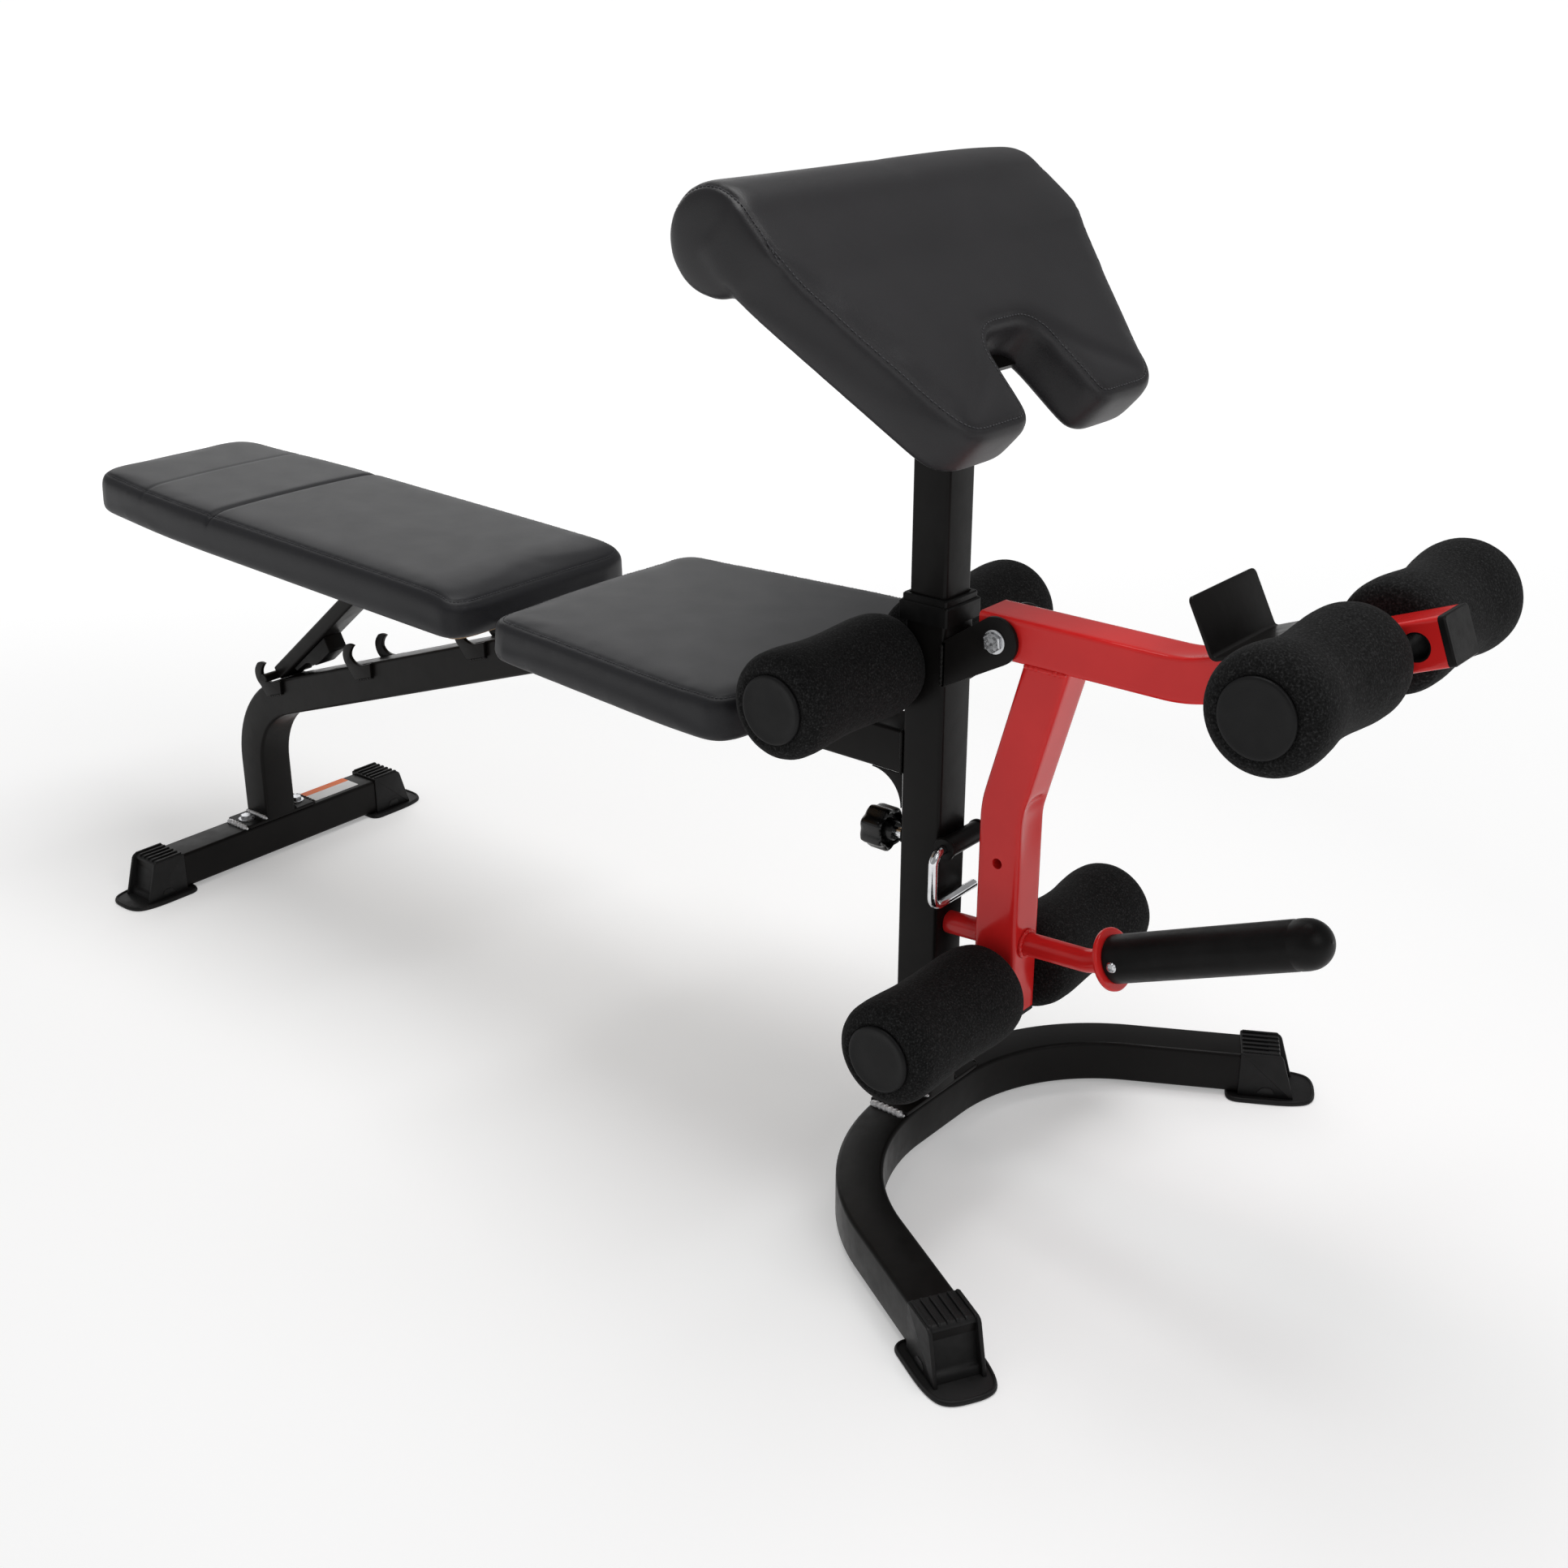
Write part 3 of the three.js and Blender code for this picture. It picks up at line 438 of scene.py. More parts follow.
def metal(name, colour, roughness, grain=250):
    # plated steel with fine scuffs
    shade = tuple(0.82 * c for c in colour)
    material, tree, shader, coordinates = mottled(name, (90, 4), [(0.3, shade), (0.65, colour)], (grain, 6),
                                                  (roughness * 0.6, roughness * 1.5), 0.5)
    shader.inputs["Metallic"].default_value = 1.0
    addBump(tree, shader, [(noise(tree, coordinates, grain * 2, 4), 0.00003)])
    return material


def wood(name):
    # birch plywood: long grain on the face
    material, tree, shader, coordinates = newMaterial(name)
    grain = noise(tree, coordinates, 26, 6, stretch=(1, 9, 9))
    stops = [(0.3, (0.21, 0.12, 0.06)), (0.55, (0.36, 0.23, 0.12)), (0.75, (0.46, 0.31, 0.17))]
    tree.links.new(ramp(tree, grain, stops), shader.inputs["Base Color"])
    shader.inputs["Roughness"].default_value = 0.7
    addBump(tree, shader, [(grain, 0.0003)])
    return material


blackPaint = paint("blackPaint", (0.0052, 0.0046, 0.0044), (0.0074, 0.0067, 0.0064), 0.34, 0.11)
redPaint = paint("redPaint", (0.61, 0.016, 0.016), (0.68, 0.021, 0.020), 0.17, 0.26, coat=0.08, peel=0.00001)
seatHide = hide("seatHide", (0.0130, 0.0130, 0.0150), (0.0168, 0.0168, 0.0190), 0.47, 0.26)
curlHide = hide("curlHide", (0.0150, 0.0143, 0.0158), (0.0200, 0.0191, 0.0209), 0.43, 0.3)
thread = plastic("thread", (0.060, 0.060, 0.064), (0.085, 0.085, 0.090), 0.7, grain=2500)
blackFoam = foam("blackFoam")
blackRubber = plastic("blackRubber", (0.006, 0.006, 0.006), (0.010, 0.0095, 0.0098), 0.5, shine=0.22)
blackPlastic = plastic("blackPlastic", (0.0045, 0.0043, 0.0043), (0.0075, 0.0072, 0.0072), 0.40)
discPlastic = plastic("discPlastic", (0.0095, 0.0095, 0.0098), (0.0125, 0.0125, 0.0128), 0.42)
glossPlastic = plastic("glossPlastic", (0.003, 0.003, 0.003), (0.005, 0.005, 0.005), 0.24, shine=0.4)
zincSteel = metal("zincSteel", (0.62, 0.63, 0.65), 0.28)
# pale steel for the near-side plate weld beads only: a painted highlight
beadHighlightSteel = metal("beadHighlightSteel", (0.78, 0.78, 0.79), 0.6)
chromeSteel = metal("chromeSteel", (0.80, 0.81, 0.83), 0.13)
plywood = wood("plywood")
whiteLabel = plastic("whiteLabel", (0.78, 0.78, 0.78), (0.84, 0.84, 0.84), 0.4)
orangeLabel = plastic("orangeLabel", (0.85, 0.17, 0.04), (0.90, 0.21, 0.06), 0.4)
print("materials made")


def hexBolt(name, centre, axis, size, stands, shank=None, washer=1.75):
    # a washer, a hexagon head with its corners turned off, and the shank through the joint
    across, height, thin = size["head"], size["height"], size["shank"]
    centre = np.asarray(centre, float)
    head = lathe([[0.001, 0], [across, 0], [across, height * 0.85], [across * 0.86, height], [0.001, height]],
                 centre, axis, count=6)
    ringProfile = [[0.001, -0.0002], [across * washer * 0.75, -0.0002], [across * washer * 0.75, 0.0012],
                   [across * washer * 0.7, 0.0016], [0.001, 0.0016]]
    shapes = [head, lathe(ringProfile, centre, axis)]
    if shank:
        low, high = shank
        tip = np.sign(high) * 0.0015
        bolt = [[0.001, low], [thin, low], [thin, high - tip], [thin * 0.8, high], [0.001, high]]
        shapes.append(lathe(bolt, centre, axis, count=24))
    return piece(name, together(*shapes), zincSteel, "frame", stands, angle=30)


def weldBead(name, points, side, body, radius=0.0032, pitch=0.0042, material=None):
    # a fillet of overlapping ripples: a round section whose size rises and falls along the path
    points = np.asarray(points, float)
    total = lengthAlong(points)[-1]
    fine = np.linspace(0, total, max(12, int(total / pitch * 8)))
    ends = np.clip(np.minimum(fine, total - fine) / radius, 0.15, 1) ** 0.5
    size = ends * (0.8 + 0.2 * np.abs(np.sin(math.pi * fine / pitch)) + 0.06 * np.sin(fine * 900 + 1))
    shape = sweep(walk(points, fine), circle(radius, 12), side, size)
    return piece(name, shape, material or blackPaint, body, angle=60)


tubes = {"half": 0.025, "corner": 0.0045, "bottom": 0.006, "plate": 0.005}
tubeSection = roundedBox(tubes["half"], tubes["half"], tubes["corner"])
tubeTop = tubes["bottom"] + 2 * tubes["half"]
plateTop = tubeTop + tubes["plate"]


def sideTube(name, corners, halfY, halfZ, material, body, stands, dents=()):
    # a tube bent in the upright plane; each dent (x, z, way in, depth, reach) presses its face in by a bell curve
    line = roundedPath(corners, 16)
    if dents:
        line = walk(line, np.arange(0, lengthAlong(line)[-1], 0.003))
        line[-1] = corners[-1][:2]
    section = roundedBox(halfY, halfZ, tubes["corner"], between=9 if dents else 0)
    points, faces = sweep(upright(line), section, acrossY)
    for x, z, way, depth, reach in dents:
        away = (points[:, 0] - x) ** 2 + (points[:, 2] - z) ** 2
        across = np.clip(1 - (points[:, 1] / (halfY * 0.84)) ** 2, 0, 1)
        points += (depth * np.exp(-away / reach ** 2) * across)[:, None] * np.array([way[0], 0, way[1]])
    return piece(name, fromPost((points, faces)), material, body, stands)


bases = {
    "rearX": -1.177, "rearHalf": 0.214, "frontCorner": 0.176, "frontBow": 0.230,
    "foot": (0.271, 0.327), "angle": math.radians(29.2),
    "rearPlate": 0.058, "rearBolt": 0.044, "frontPlate": 0.068, "frontBolt": 0.050, "inset": 0.0025,
    "bolt": {"head": 0.0088, "height": 0.0065, "shank": 0.005},
}
cap = {
    "half": 0.0275, "length": 0.046, "height": 0.0605, "slope": 0.018, "wall": 0.0045,
    "lipHalf": 0.038, "lipOut": 0.041, "lipIn": 0.014, "lip": 0.004, "ribs": 6, "rib": 0.0016,
}


def capShape():
    # drawn around a tube that comes in along -x and ends at x = 0
    length, half, height, slope, wall = cap["length"], cap["half"], cap["height"], cap["slope"], cap["wall"]
    core = roundedOutline([(-length, 0.002, 0.001), (0.0125, 0.002, 0.001), (0.0095, 0.012, 0.003),
                           (0.0045, 0.0135, 0.003), (-0.0050, height - 0.006, 0.003),
                           (-0.0070, height - 0.0015, 0.003), (-length, height - 0.0015, 0.001)])
    cheek = roundedOutline([(-length, 0.0015, 0.002), (slope, 0.0015, 0.002), (0.001, height - 0.001, 0.007),
                            (-length, height - 0.001, 0.002)])
    brow = roundedOutline([(-0.016, height - 0.009, 0.002), (-0.0005, height - 0.008, 0.003),
                           (-0.0025, height - 0.001, 0.004), (-0.016, height - 0.001, 0.002)])
    shapes = [slab(core, -half + 0.001, half - 0.001, 0.001)]
    shapes += [slab(cheek, low, low + wall, 0.0016) for low in (-half, half - wall)]
    shapes.append(slab(brow, -half + 0.002, half - 0.002, 0.0015))
    ribGap = 2 * (half - 0.004) / (cap["ribs"] - 1)
    for i in range(cap["ribs"]):
        middle = -half + 0.004 + i * ribGap
        bar = roundedOutline([(-length + 0.002, height - 0.002, 0.001), (-0.0015, height - 0.002, 0.001),
                              (-0.003, height + 0.001, 0.002), (-length + 0.002, height + 0.001, 0.001)])
        shapes.append(slab(bar, middle - cap["rib"], middle + cap["rib"], 0.0008))
    lip = roundedOutline([(-length - cap["lipIn"], -cap["lipHalf"], 0.016),
                          (cap["lipOut"] * 0.4, -cap["lipHalf"], 0.03), (cap["lipOut"] * 1.04, -0.026, 0.022),
                          (cap["lipOut"] * 1.04, 0.026, 0.022), (cap["lipOut"] * 0.4, cap["lipHalf"], 0.03),
                          (-length - cap["lipIn"], cap["lipHalf"], 0.016)], 8)
    shapes.append(slab(lip, 0, cap["lip"], 0.0015, "xy"))
    rim = resample(lip, 0.003)
    shapes.append(rimRing(lifted(rim + 0.0022 * inward(rim), cap["lip"]), 0.0016))
    boss = roundedOutline([(-0.026, 0.008, 0.004), (-0.004, 0.008, 0.004), (-0.008, 0.017, 0.004),
                           (-0.020, 0.017, 0.004)])
    shapes += [slab(boss, low, low + 0.002, 0.0008) for low in (-half - 0.001, half - 0.001)]
    return together(*shapes)


def rimRing(path, radius):
    # a round bead that follows a closed level path
    along = unit(np.roll(path, -1, 0) - np.roll(path, 1, 0))
    side = np.cross(along, upZ)
    section = circle(radius, 8)
    rings = path[:, None, :] + section[None, :, :1] * side[:, None, :] + section[None, :, 1:] * np.array(upZ)
    return ringLoft(rings)


def flatPlate(name, x, half):
    # the welded plate between a foot tube and its upright
    outline = roundedOutline([(x - 0.025, -half, 0.003), (x + 0.025, -half, 0.003), (x + 0.025, half, 0.003),
                              (x - 0.025, half, 0.003)], 4)
    piece(name, fromPost(slab(outline, tubeTop, plateTop, 0.0012, "xy")), blackPaint, "frame")


def makeBases():
    rearX, rearHalf = bases["rearX"], bases["rearHalf"]
    middle = tubes["bottom"] + tubes["half"]
    line = np.array([[rearX, y, middle] for y in np.linspace(-rearHalf, rearHalf, 9)])
    piece("rearBaseTube", fromPost(sweep(line, tubeSection, upZ)), blackPaint, "frame",
          ["rear_base_tube"])
    footX, footY = bases["foot"]
    corner, bow, angle, inset = bases["frontCorner"], bases["frontBow"], bases["angle"], bases["inset"]
    tip = (footX - inset * math.cos(angle), footY - inset * math.sin(angle))
    level = roundedPath([(tip[0], -tip[1]), (0, -corner, bow), (0, corner, bow), tip], 24)
    piece("frontBaseTube", fromPost(sweep(lifted(level, middle), tubeSection, upZ)), blackPaint, "frame",
          ["front_base_tube"])
    feet = [("rear", "Near", rearX, -rearHalf - inset, -math.pi / 2),
            ("rear", "Far", rearX, rearHalf + inset, math.pi / 2),
            ("front", "Near", footX, -footY, -angle), ("front", "Far", footX, footY, angle)]
    for end, word, x, y, heading in feet:
        piece(end + "Cap" + word, at(capShape(), (postX + x, y, 0), heading=heading), blackRubber, "frame",
              [f"{end}_cap_{word.lower()}"], angle=28)
    ends = [("rear", rearX, bases["rearPlate"], bases["rearBolt"]),
            ("front", 0, bases["frontPlate"], bases["frontBolt"])]
    for end, x, half, _ in ends:
        flatPlate(end + "Plate", x, half)
    for end, x, _, reach in ends:
        for side, word in sides:
            hexBolt(end + "Bolt" + word, (postX + x, side * reach, plateTop), upZ, bases["bolt"],
                    [f"{end}_bolt_{word.lower()}"], shank=(-0.021, -0.001))
    for end, x, half, _ in ends:
        for side, word in sides:
            # near-side beads get pale steel as a painted highlight; far-side beads keep plain black paint
            sideLitFinish = beadHighlightSteel if side < 0 else blackPaint
            edge = [(postX + x + k * 0.023, side * (half + 0.002), tubeTop + 0.001) for k in (-1, 1)]
            weldBead(end + "PlateBead" + word, edge, upZ, "frame", 0.0046, 0.0062, sideLitFinish)
            foot = [(postX + x + k * 0.024, side * 0.0262, plateTop + 0.001) for k in (-1, 1)]
            weldBead(end + "PlateFillet" + word, foot, upZ, "frame", 0.0034, 0.005, sideLitFinish)
    print("bases made")


label = {"from": 0.068, "to": 0.148, "plain": (-0.018, 0.016), "band": (-0.022, -0.008)}


def makeLabel():
    # a pale sticker on the rear foot with a coloured band over its edge
    for i, (name, material) in enumerate((("plain", whiteLabel), ("band", orangeLabel))):
        low, high = (bases["rearX"] + x for x in label[name])
        outline = roundedOutline([(low, label["from"], 0.002), (high, label["from"], 0.002),
                                  (high, label["to"], 0.002), (low, label["to"], 0.002)], 3)
        sheet = fromPost(slab(outline, tubeTop + 0.00005, tubeTop + 0.00035 + 0.0001 * i, 0.0001, "xy", 1))
        piece("label" + name.title(), sheet, material, "frame")


makeBases()
makeLabel()


rail = {
    "slope": math.radians(19.4), "rearBend": 0.126, "frontBend": 0.120, "level": 0.458, "bendX": -0.536,
    "postTop": 0.612, "gusset": 0.038, "hinge": (-0.575, 0.484), "hookX": (-1.105, -0.905, -0.680),
    "rodLift": 0.008, "pin": (0.037, 0.368), "knobZ": 0.353,
    "bolt": {"head": 0.0100, "height": 0.0065, "shank": 0.006},
}
collarProfile = [(0.0302, 0.606), (0.0302, 0.6245), (0.0288, 0.626), (0.0276, 0.6262), (0.0276, 0.6318),
                 (0.0264, 0.633), (0.0231, 0.633), (0.0231, 0.606)]  # half width, height
sleeveProfile = [(0.0053, -0.0330), (0.0112, -0.0330), (0.0126, -0.0316), (0.0126, -0.0290), (0.0114, -0.0275),
                 (0.0114, 0.0275), (0.0126, 0.0290), (0.0126, 0.0316), (0.0112, 0.0330), (0.0053, 0.0330)]


def railAt(x):
    # the height of the sloping stretch of the rail's middle line
    return rail["level"] + (x - rail["bendX"]) * math.tan(rail["slope"])


rods = [(x, railAt(x) + tubes["half"] / math.cos(rail["slope"]) + rail["rodLift"]) for x in rail["hookX"]]


def hookOutline(x, z):
    # a crescent horn on a foot that is welded to the rail, from parabolas (start, control, end) and corners
    share = np.linspace(0, 1, 7)[:-1, None]

    def curve(start, control, end):
        a, b, c = (np.array(point, float) for point in (start, control, end))
        return (1 - share) ** 2 * a + 2 * share * (1 - share) * b + share ** 2 * c
    outline = np.concatenate([
        curve((-25, 15), (-34, 6), (-33, -2)), curve((-33, -2), (-32, -12), (-24, -17)),
        [(-24, -17), (-11, -31), (22, -20), (22, -1)], curve((4, -7.5), (-12, -10), (-18, 0)),
        curve((-18, 0), (-19, 8), (-9, 17)), curve((-9, 17), (-18, 19), (-25, 15))])
    return outline / 1000 + (x, z)


def makeMainFrame():
    x, half, level = bases["rearX"], tubes["half"], rail["level"]
    corners = [(x, plateTop - 0.001), (x, railAt(x), rail["rearBend"]), (rail["bendX"], level, rail["frontBend"]),
               (-half, level)]
    sideTube("railTube", corners, half, half, blackPaint, "frame", ["main_rail"])
    sideTube("postTube", [(0, plateTop - 0.001), (0, rail["postTop"])], half, half, blackPaint,
             "frame", ["front_post"])
    reach = rail["gusset"]
    top = level - half
    angles = np.linspace(math.pi / 2, 0, 14)
    arc = np.stack([-half - reach + reach * np.cos(angles), top - reach + reach * np.sin(angles)], 1)
    gusset = np.concatenate([[[-0.024, top + 0.001], [-half - reach, top + 0.001]], arc, [[-0.024, top - reach]]])
    earCorners = [(-20, -30, 2), (20, -30, 2), (12, 4, 4), (6, 11, 4), (-6, 11, 4), (-12, 4, 4)]
    hingeX, hingeZ = rail["hinge"]
    ear = roundedOutline([(hingeX + a / 1000, hingeZ + b / 1000, r / 1000) for a, b, r in earCorners])
    for side, word in sides:
        low = min(side * 0.0252, side * 0.0232)
        plate = fromPost(slab(gusset, low, low + 0.002, 0.0005))
        piece("gusset" + word, plate, blackPaint, "frame")
        low = min(side * 0.0245, side * 0.030)
        plate = fromPost(slab(ear, low, low + 0.0055, 0.0007))
        piece("hingeEar" + word, plate, blackPaint, "frame")
        joint = [(postX - 0.026, side * 0.0248, z) for z in (top, level + 0.024)]
        weldBead("railBead" + word, joint, acrossY, "frame", 0.0017, 0.006)
        for i, rod in enumerate(rods):
            low = min(side * 0.025, side * 0.030)
            hook = slab(hookOutline(*rod), low, low + 0.005, 0.0008)
            piece(f"hook{i + 1}{word}", fromPost(hook), blackPaint, "frame",
                  [f"hook_{i + 1}_{word.lower()}"])
            foot = [(postX + rod[0] + a, side * 0.0262, rod[1] + b)
                    for a, b in ((-0.008, -0.0315), (0.021, -0.0215))]
            weldBead(f"hookBead{i + 1}{word}", foot, acrossY, "frame", 0.0016, 0.005)
    seamTop = [(postX - 0.0255, y, level + 0.0255) for y in (-0.021, 0.021)]
    weldBead("railBeadTop", seamTop, upZ, "frame", 0.0026, 0.006)
    hexBolt("hingeBolt", (postX + hingeX, -0.0303, hingeZ), (0, -1, 0), rail["bolt"], ["hinge_bolt"],
            shank=(-0.068, -0.001))
    hexBolt("hingeNut", (postX + hingeX, 0.0303, hingeZ), acrossY, rail["bolt"], ())
    rings = [lifted(roundedBox(wide, wide, min(0.003, wide - 0.020)), z) for wide, z in collarProfile]
    piece("postCollar", fromPost(ringLoft(rings)), blackPlastic, "frame", ["post_collar"],
          angle=25)
    piece("pinSleeve", bushing(sleeveProfile, *rail["pin"]), blackPaint, "frame", angle=25)
    nut = lathe([(0.0065, 0), (0.0108, 0.0008), (0.0112, 0.002), (0.0112, 0.010), (0.0105, 0.011),
                 (0.0065, 0.011)], (postX - half, 0, rail["knobZ"]), (-1, 0, 0), count=6)
    piece("knobNut", nut, blackPaint, "frame", angle=25)
    print("main frame made")


makeMainFrame()


leg = {
    "pivot": (0.088, 0.606), "level": 0.609, "half": 0.0225, "rear": 0.065, "bendX": 0.298, "endX": 0.5273,
    "slope": math.radians(21.65), "downX": 0.0975, "downBend": 0.425, "lean": math.radians(15.4), "downEnd": 0.193,
    "spareX": 0.505, "lockHole": (0.097, 0.366), "bar": 0.0125,
    "nose": 0.025, "earLow": 0.543, "earHigh": 0.592, "bolt": {"head": 0.0106, "height": 0.0062, "shank": 0.006},
}
catch = {"half": 0.060, "thick": 0.004, "start": -0.1975, "foot": 0.070, "height": 0.061, "lean": 0.006}


def armAt(x):
    # the height of the arm's middle line: level, then rising with its slope
    return leg["level"] + max(0.0, x - leg["bendX"]) * math.tan(leg["slope"])


def makePivot():
    x, z = leg["pivot"]
    turn = np.linspace(-1.1, 1.95, 18)
    nose = np.stack([x + leg["nose"] * np.cos(turn), z + leg["nose"] * np.sin(turn)], 1)
    outline = np.concatenate([[[tubes["half"], leg["earHigh"]], [tubes["half"], leg["earLow"]]], nose])
    for side, word in sides:
        low = min(side * 0.026, side * 0.031)
        ear = slab(outline, low, low + 0.005, 0.0008)
        piece("pivotEar" + word, fromPost(ear), blackPaint, "frame",
              ["pivot_bracket"] if side < 0 else ())
        edge = [(postX + 0.0255, side * 0.0305, height) for height in (0.545, 0.590)]
        weldBead("pivotBead" + word, edge, acrossY, "frame", 0.0022, 0.005)
    web = roundedBox(0.0025, 0.031, 0.0008)
    flange = [lifted(web + (0.0275, 0), height) for height in (0.545, leg["earHigh"])]
    piece("pivotWeb", fromPost(loft(flange)), blackPaint, "frame")
    hexBolt("pivotBolt", (postX + x, -0.0313, z), (0, -1, 0), leg["bolt"], ["pivot_bolt"],
            shank=(-0.076, -0.001), washer=1.55)
    hexBolt("pivotNut", (postX + x, 0.0313, z), acrossY, leg["bolt"], ["pivot_nut"], washer=1.55)


def makeArm():
    endZ = armAt(leg["endX"])
    corners = [(leg["rear"], leg["level"]), (leg["bendX"], leg["level"], 0.150), (leg["endX"], endZ)]
    dish = (leg["bendX"] + 0.004, leg["level"] + leg["half"] + 0.006, (0.15, -1.0), 0.0026, 0.026)
    arm = sideTube("legArm", corners, tubes["half"], leg["half"], redPaint, "leg_developer",
                   ["leg_arm"], [dish])
    spareZ = armAt(leg["spareX"])
    cutHoles(arm, [lathe([(0.001, -0.06), (0.0133, -0.06), (0.0133, 0.06), (0.001, 0.06)],
                         (postX + leg["spareX"], 0, spareZ), acrossY)])
    liner = [(0.0118, -0.0246), (0.0133, -0.0246), (0.0133, 0.0246), (0.0118, 0.0246)]
    piece("spareHoleLiner", bushing(liner, leg["spareX"], spareZ), blackPlastic, "leg_developer",
          angle=25)
    end = (postX + leg["endX"], 0, endZ)
    plug = roundedBox(leg["half"], 0.025, 0.0035)
    plugRings = [np.column_stack([np.full(len(plug), x), plug[:, 1] * k, plug[:, 0] * k])
                 for x, k in ((-0.004, 0.9), (0.0003, 0.9), (0.0003, 1.0), (0.0055, 1.0), (0.007, 0.95))]
    piece("armEndPlug", at(loft(plugRings), end, -leg["slope"]), blackPlastic, "leg_developer",
          ["arm_end_plug"], angle=30)
    low, x0 = leg["half"] + 0.0003, catch["start"]
    thick = catch["thick"]
    line = roundedPath([(x0 + catch["foot"], low + thick / 2), (x0 + thick / 2, low + thick / 2, 0.006),
                        (x0 + thick / 2 - catch["lean"], low + catch["height"])])
    last = line[-1] - line[-2]
    line = np.concatenate([line[:-1], line[-2] + last * np.linspace(0.2, 1, 40)[:, None]])
    flap = sweep(upright(line), roundedBox(catch["half"], thick / 2, 0.0008), acrossY)
    edge = np.clip((flap[0][:, 2] - (low + catch["height"] - 0.006)) / 0.006, 0, 1)
    flap[0][:, 1] -= np.sign(flap[0][:, 1]) * 0.006 * (1 - np.sqrt(1 - edge ** 2)) * (edge > 0)
    piece("barCatch", at(flap, end, -leg["slope"]), blackPaint, "leg_developer", ["bar_catch"])


def makeDownTube():
    top = leg["level"] - leg["half"]
    lean = math.tan(leg["lean"])
    corners = [(leg["downX"], leg["downEnd"]), (leg["downX"], leg["downBend"], 0.100),
               (leg["downX"] + (top + 0.012 - leg["downBend"]) * lean, top + 0.012)]
    creaseX = leg["downX"] + 0.026
    dents = [(creaseX, leg["downBend"] + 0.010, (-1.0, 0.1), 0.0040, 0.007),
             (creaseX - 0.001, leg["downBend"] - 0.022, (-1.0, 0.0), 0.0028, 0.026)]
    tube = sideTube("legDownTube", corners, 0.0225, 0.025, redPaint, "leg_developer",
                    ["leg_down_tube"], dents)
    x, z = leg["lockHole"]
    drill = [(0.001, -0.06), (0.0058, -0.06), (0.0058, 0.06), (0.001, 0.06)]
    cutHoles(tube, [lathe(drill, (postX + x, 0, z), acrossY)])
    topX = leg["downX"] + (top - leg["downBend"]) * lean
    for side, word in sides:
        line = [(postX + topX + k * 0.024, side * 0.0232, top - 0.0005) for k in (-1, 1)]
        weldBead("downTubeBead" + word, line, acrossY, "leg_developer", 0.0028, 0.0055, redPaint)
    plug = roundedBox(0.025, 0.0225, 0.0035)
    rings = [lifted(plug * k + (leg["downX"], 0), height)
             for k, height in ((0.93, 0.187), (1.0, 0.1885), (1.0, 0.1927), (0.88, 0.1927), (0.88, 0.203))]
    piece("downTubePlug", fromPost(loft(rings)), blackPlastic, "leg_developer",
          ["down_tube_plug"], angle=30)


weight = {"points": [(0.0256, 0.2682), (0.199, 0.279, 0.045), (0.4205, 0.3714)], "ringAlong": 0.029,
          "ring": 0.0325, "sleeve": 0.025, "length": 0.218}


def makeWeightBar():
    line = roundedPath(weight["points"], 14)
    piece("weightBar", fromPost(sweep(upright(line), circle(leg["bar"]), acrossY)), redPaint, "leg_developer",
          ["weight_bar"])
    bend, tip = np.array(weight["points"][1][:2]), np.array(weight["points"][2])
    way = unit(tip - bend)
    axis = (way[0], 0, way[1])
    start = bend + way * weight["ringAlong"]
    centre = (postX + start[0], 0, start[1])
    r = weight["ring"]
    ring = [(0.0128, -0.0025), (r - 0.0012, -0.0025), (r - 0.0002, -0.0018), (r, -0.0005), (r, 0.0012),
            (r - 0.0008, 0.0024), (r - 0.002, 0.0027), (0.0128, 0.0027)]
    piece("weightRing", lathe(ring, centre, axis, 64), redPaint, "leg_developer", angle=50)
    s, long = weight["sleeve"], weight["length"] + 0.003
    dome = [(s * math.cos(t), long + 0.0255 * math.sin(t)) for t in np.linspace(0.25, math.pi / 2 - 0.02, 12)]
    sleeve = [(0.0128, 0.003), (s - 0.0015, 0.003), (s, 0.0045), (s, long - 0.012), (s - 0.0006, long - 0.010),
              (s - 0.0006, long - 0.009), (s, long - 0.007), (s, long)]
    piece("weightSleeve", lathe(sleeve + dome + [(0.0003, long + 0.0256)], centre, axis, 64), blackPlastic,
          "leg_developer", ["weight_sleeve"], angle=40)
    screwAt = np.array(centre) + 0.014 * np.array(axis)
    head = lathe([(0.0056, 0), (0.0056, 0.0006), (0.0045, 0.0022), (0.0026, 0.0028), (0.0024, 0.0014),
                  (0.0003, 0.0014)], screwAt + np.array([0, -s + 0.0002, 0]), (0, -1, 0), 24)
    piece("sleeveScrew", head, zincSteel, "leg_developer", angle=30)
    for name, x in (("weightBeadFront", leg["downX"] + 0.0265), ("weightBeadRear", leg["downX"] - 0.0265)):
        z = np.interp(x, [weight["points"][0][0], 0.199], [0.2682, 0.279])
        turn = np.linspace(0, 2 * math.pi, 33)
        ringPath = np.stack([np.full(33, postX + x), 0.0138 * np.cos(turn), z + 0.0138 * np.sin(turn)], 1)
        weldBead(name, ringPath, alongX, "leg_developer", 0.0026, 0.005, redPaint)


makePivot()
makeArm()
makeDownTube()
makeWeightBar()
print("leg developer made")


roller = {
    "profile": [(0.041, 0), (0.0493, 0.005), (0.0535, 0.012), (0.0555, 0.024), (0.054, 0.044), (0.050, 0.066),
                (0.0485, 0.088), (0.0495, 0.112), (0.052, 0.136), (0.0535, 0.158), (0.052, 0.176), (0.048, 0.184),
                (0.042, 0.187)],
    "disc": 0.035, "edge": 0.003, "full": 0.0545,
    "waist": {"seatNear": 0.45, "seatFar": 0.6, "armNear": 0.85, "armFar": 0.9, "shinNear": 0.35, "shinFar": 0.75},
}
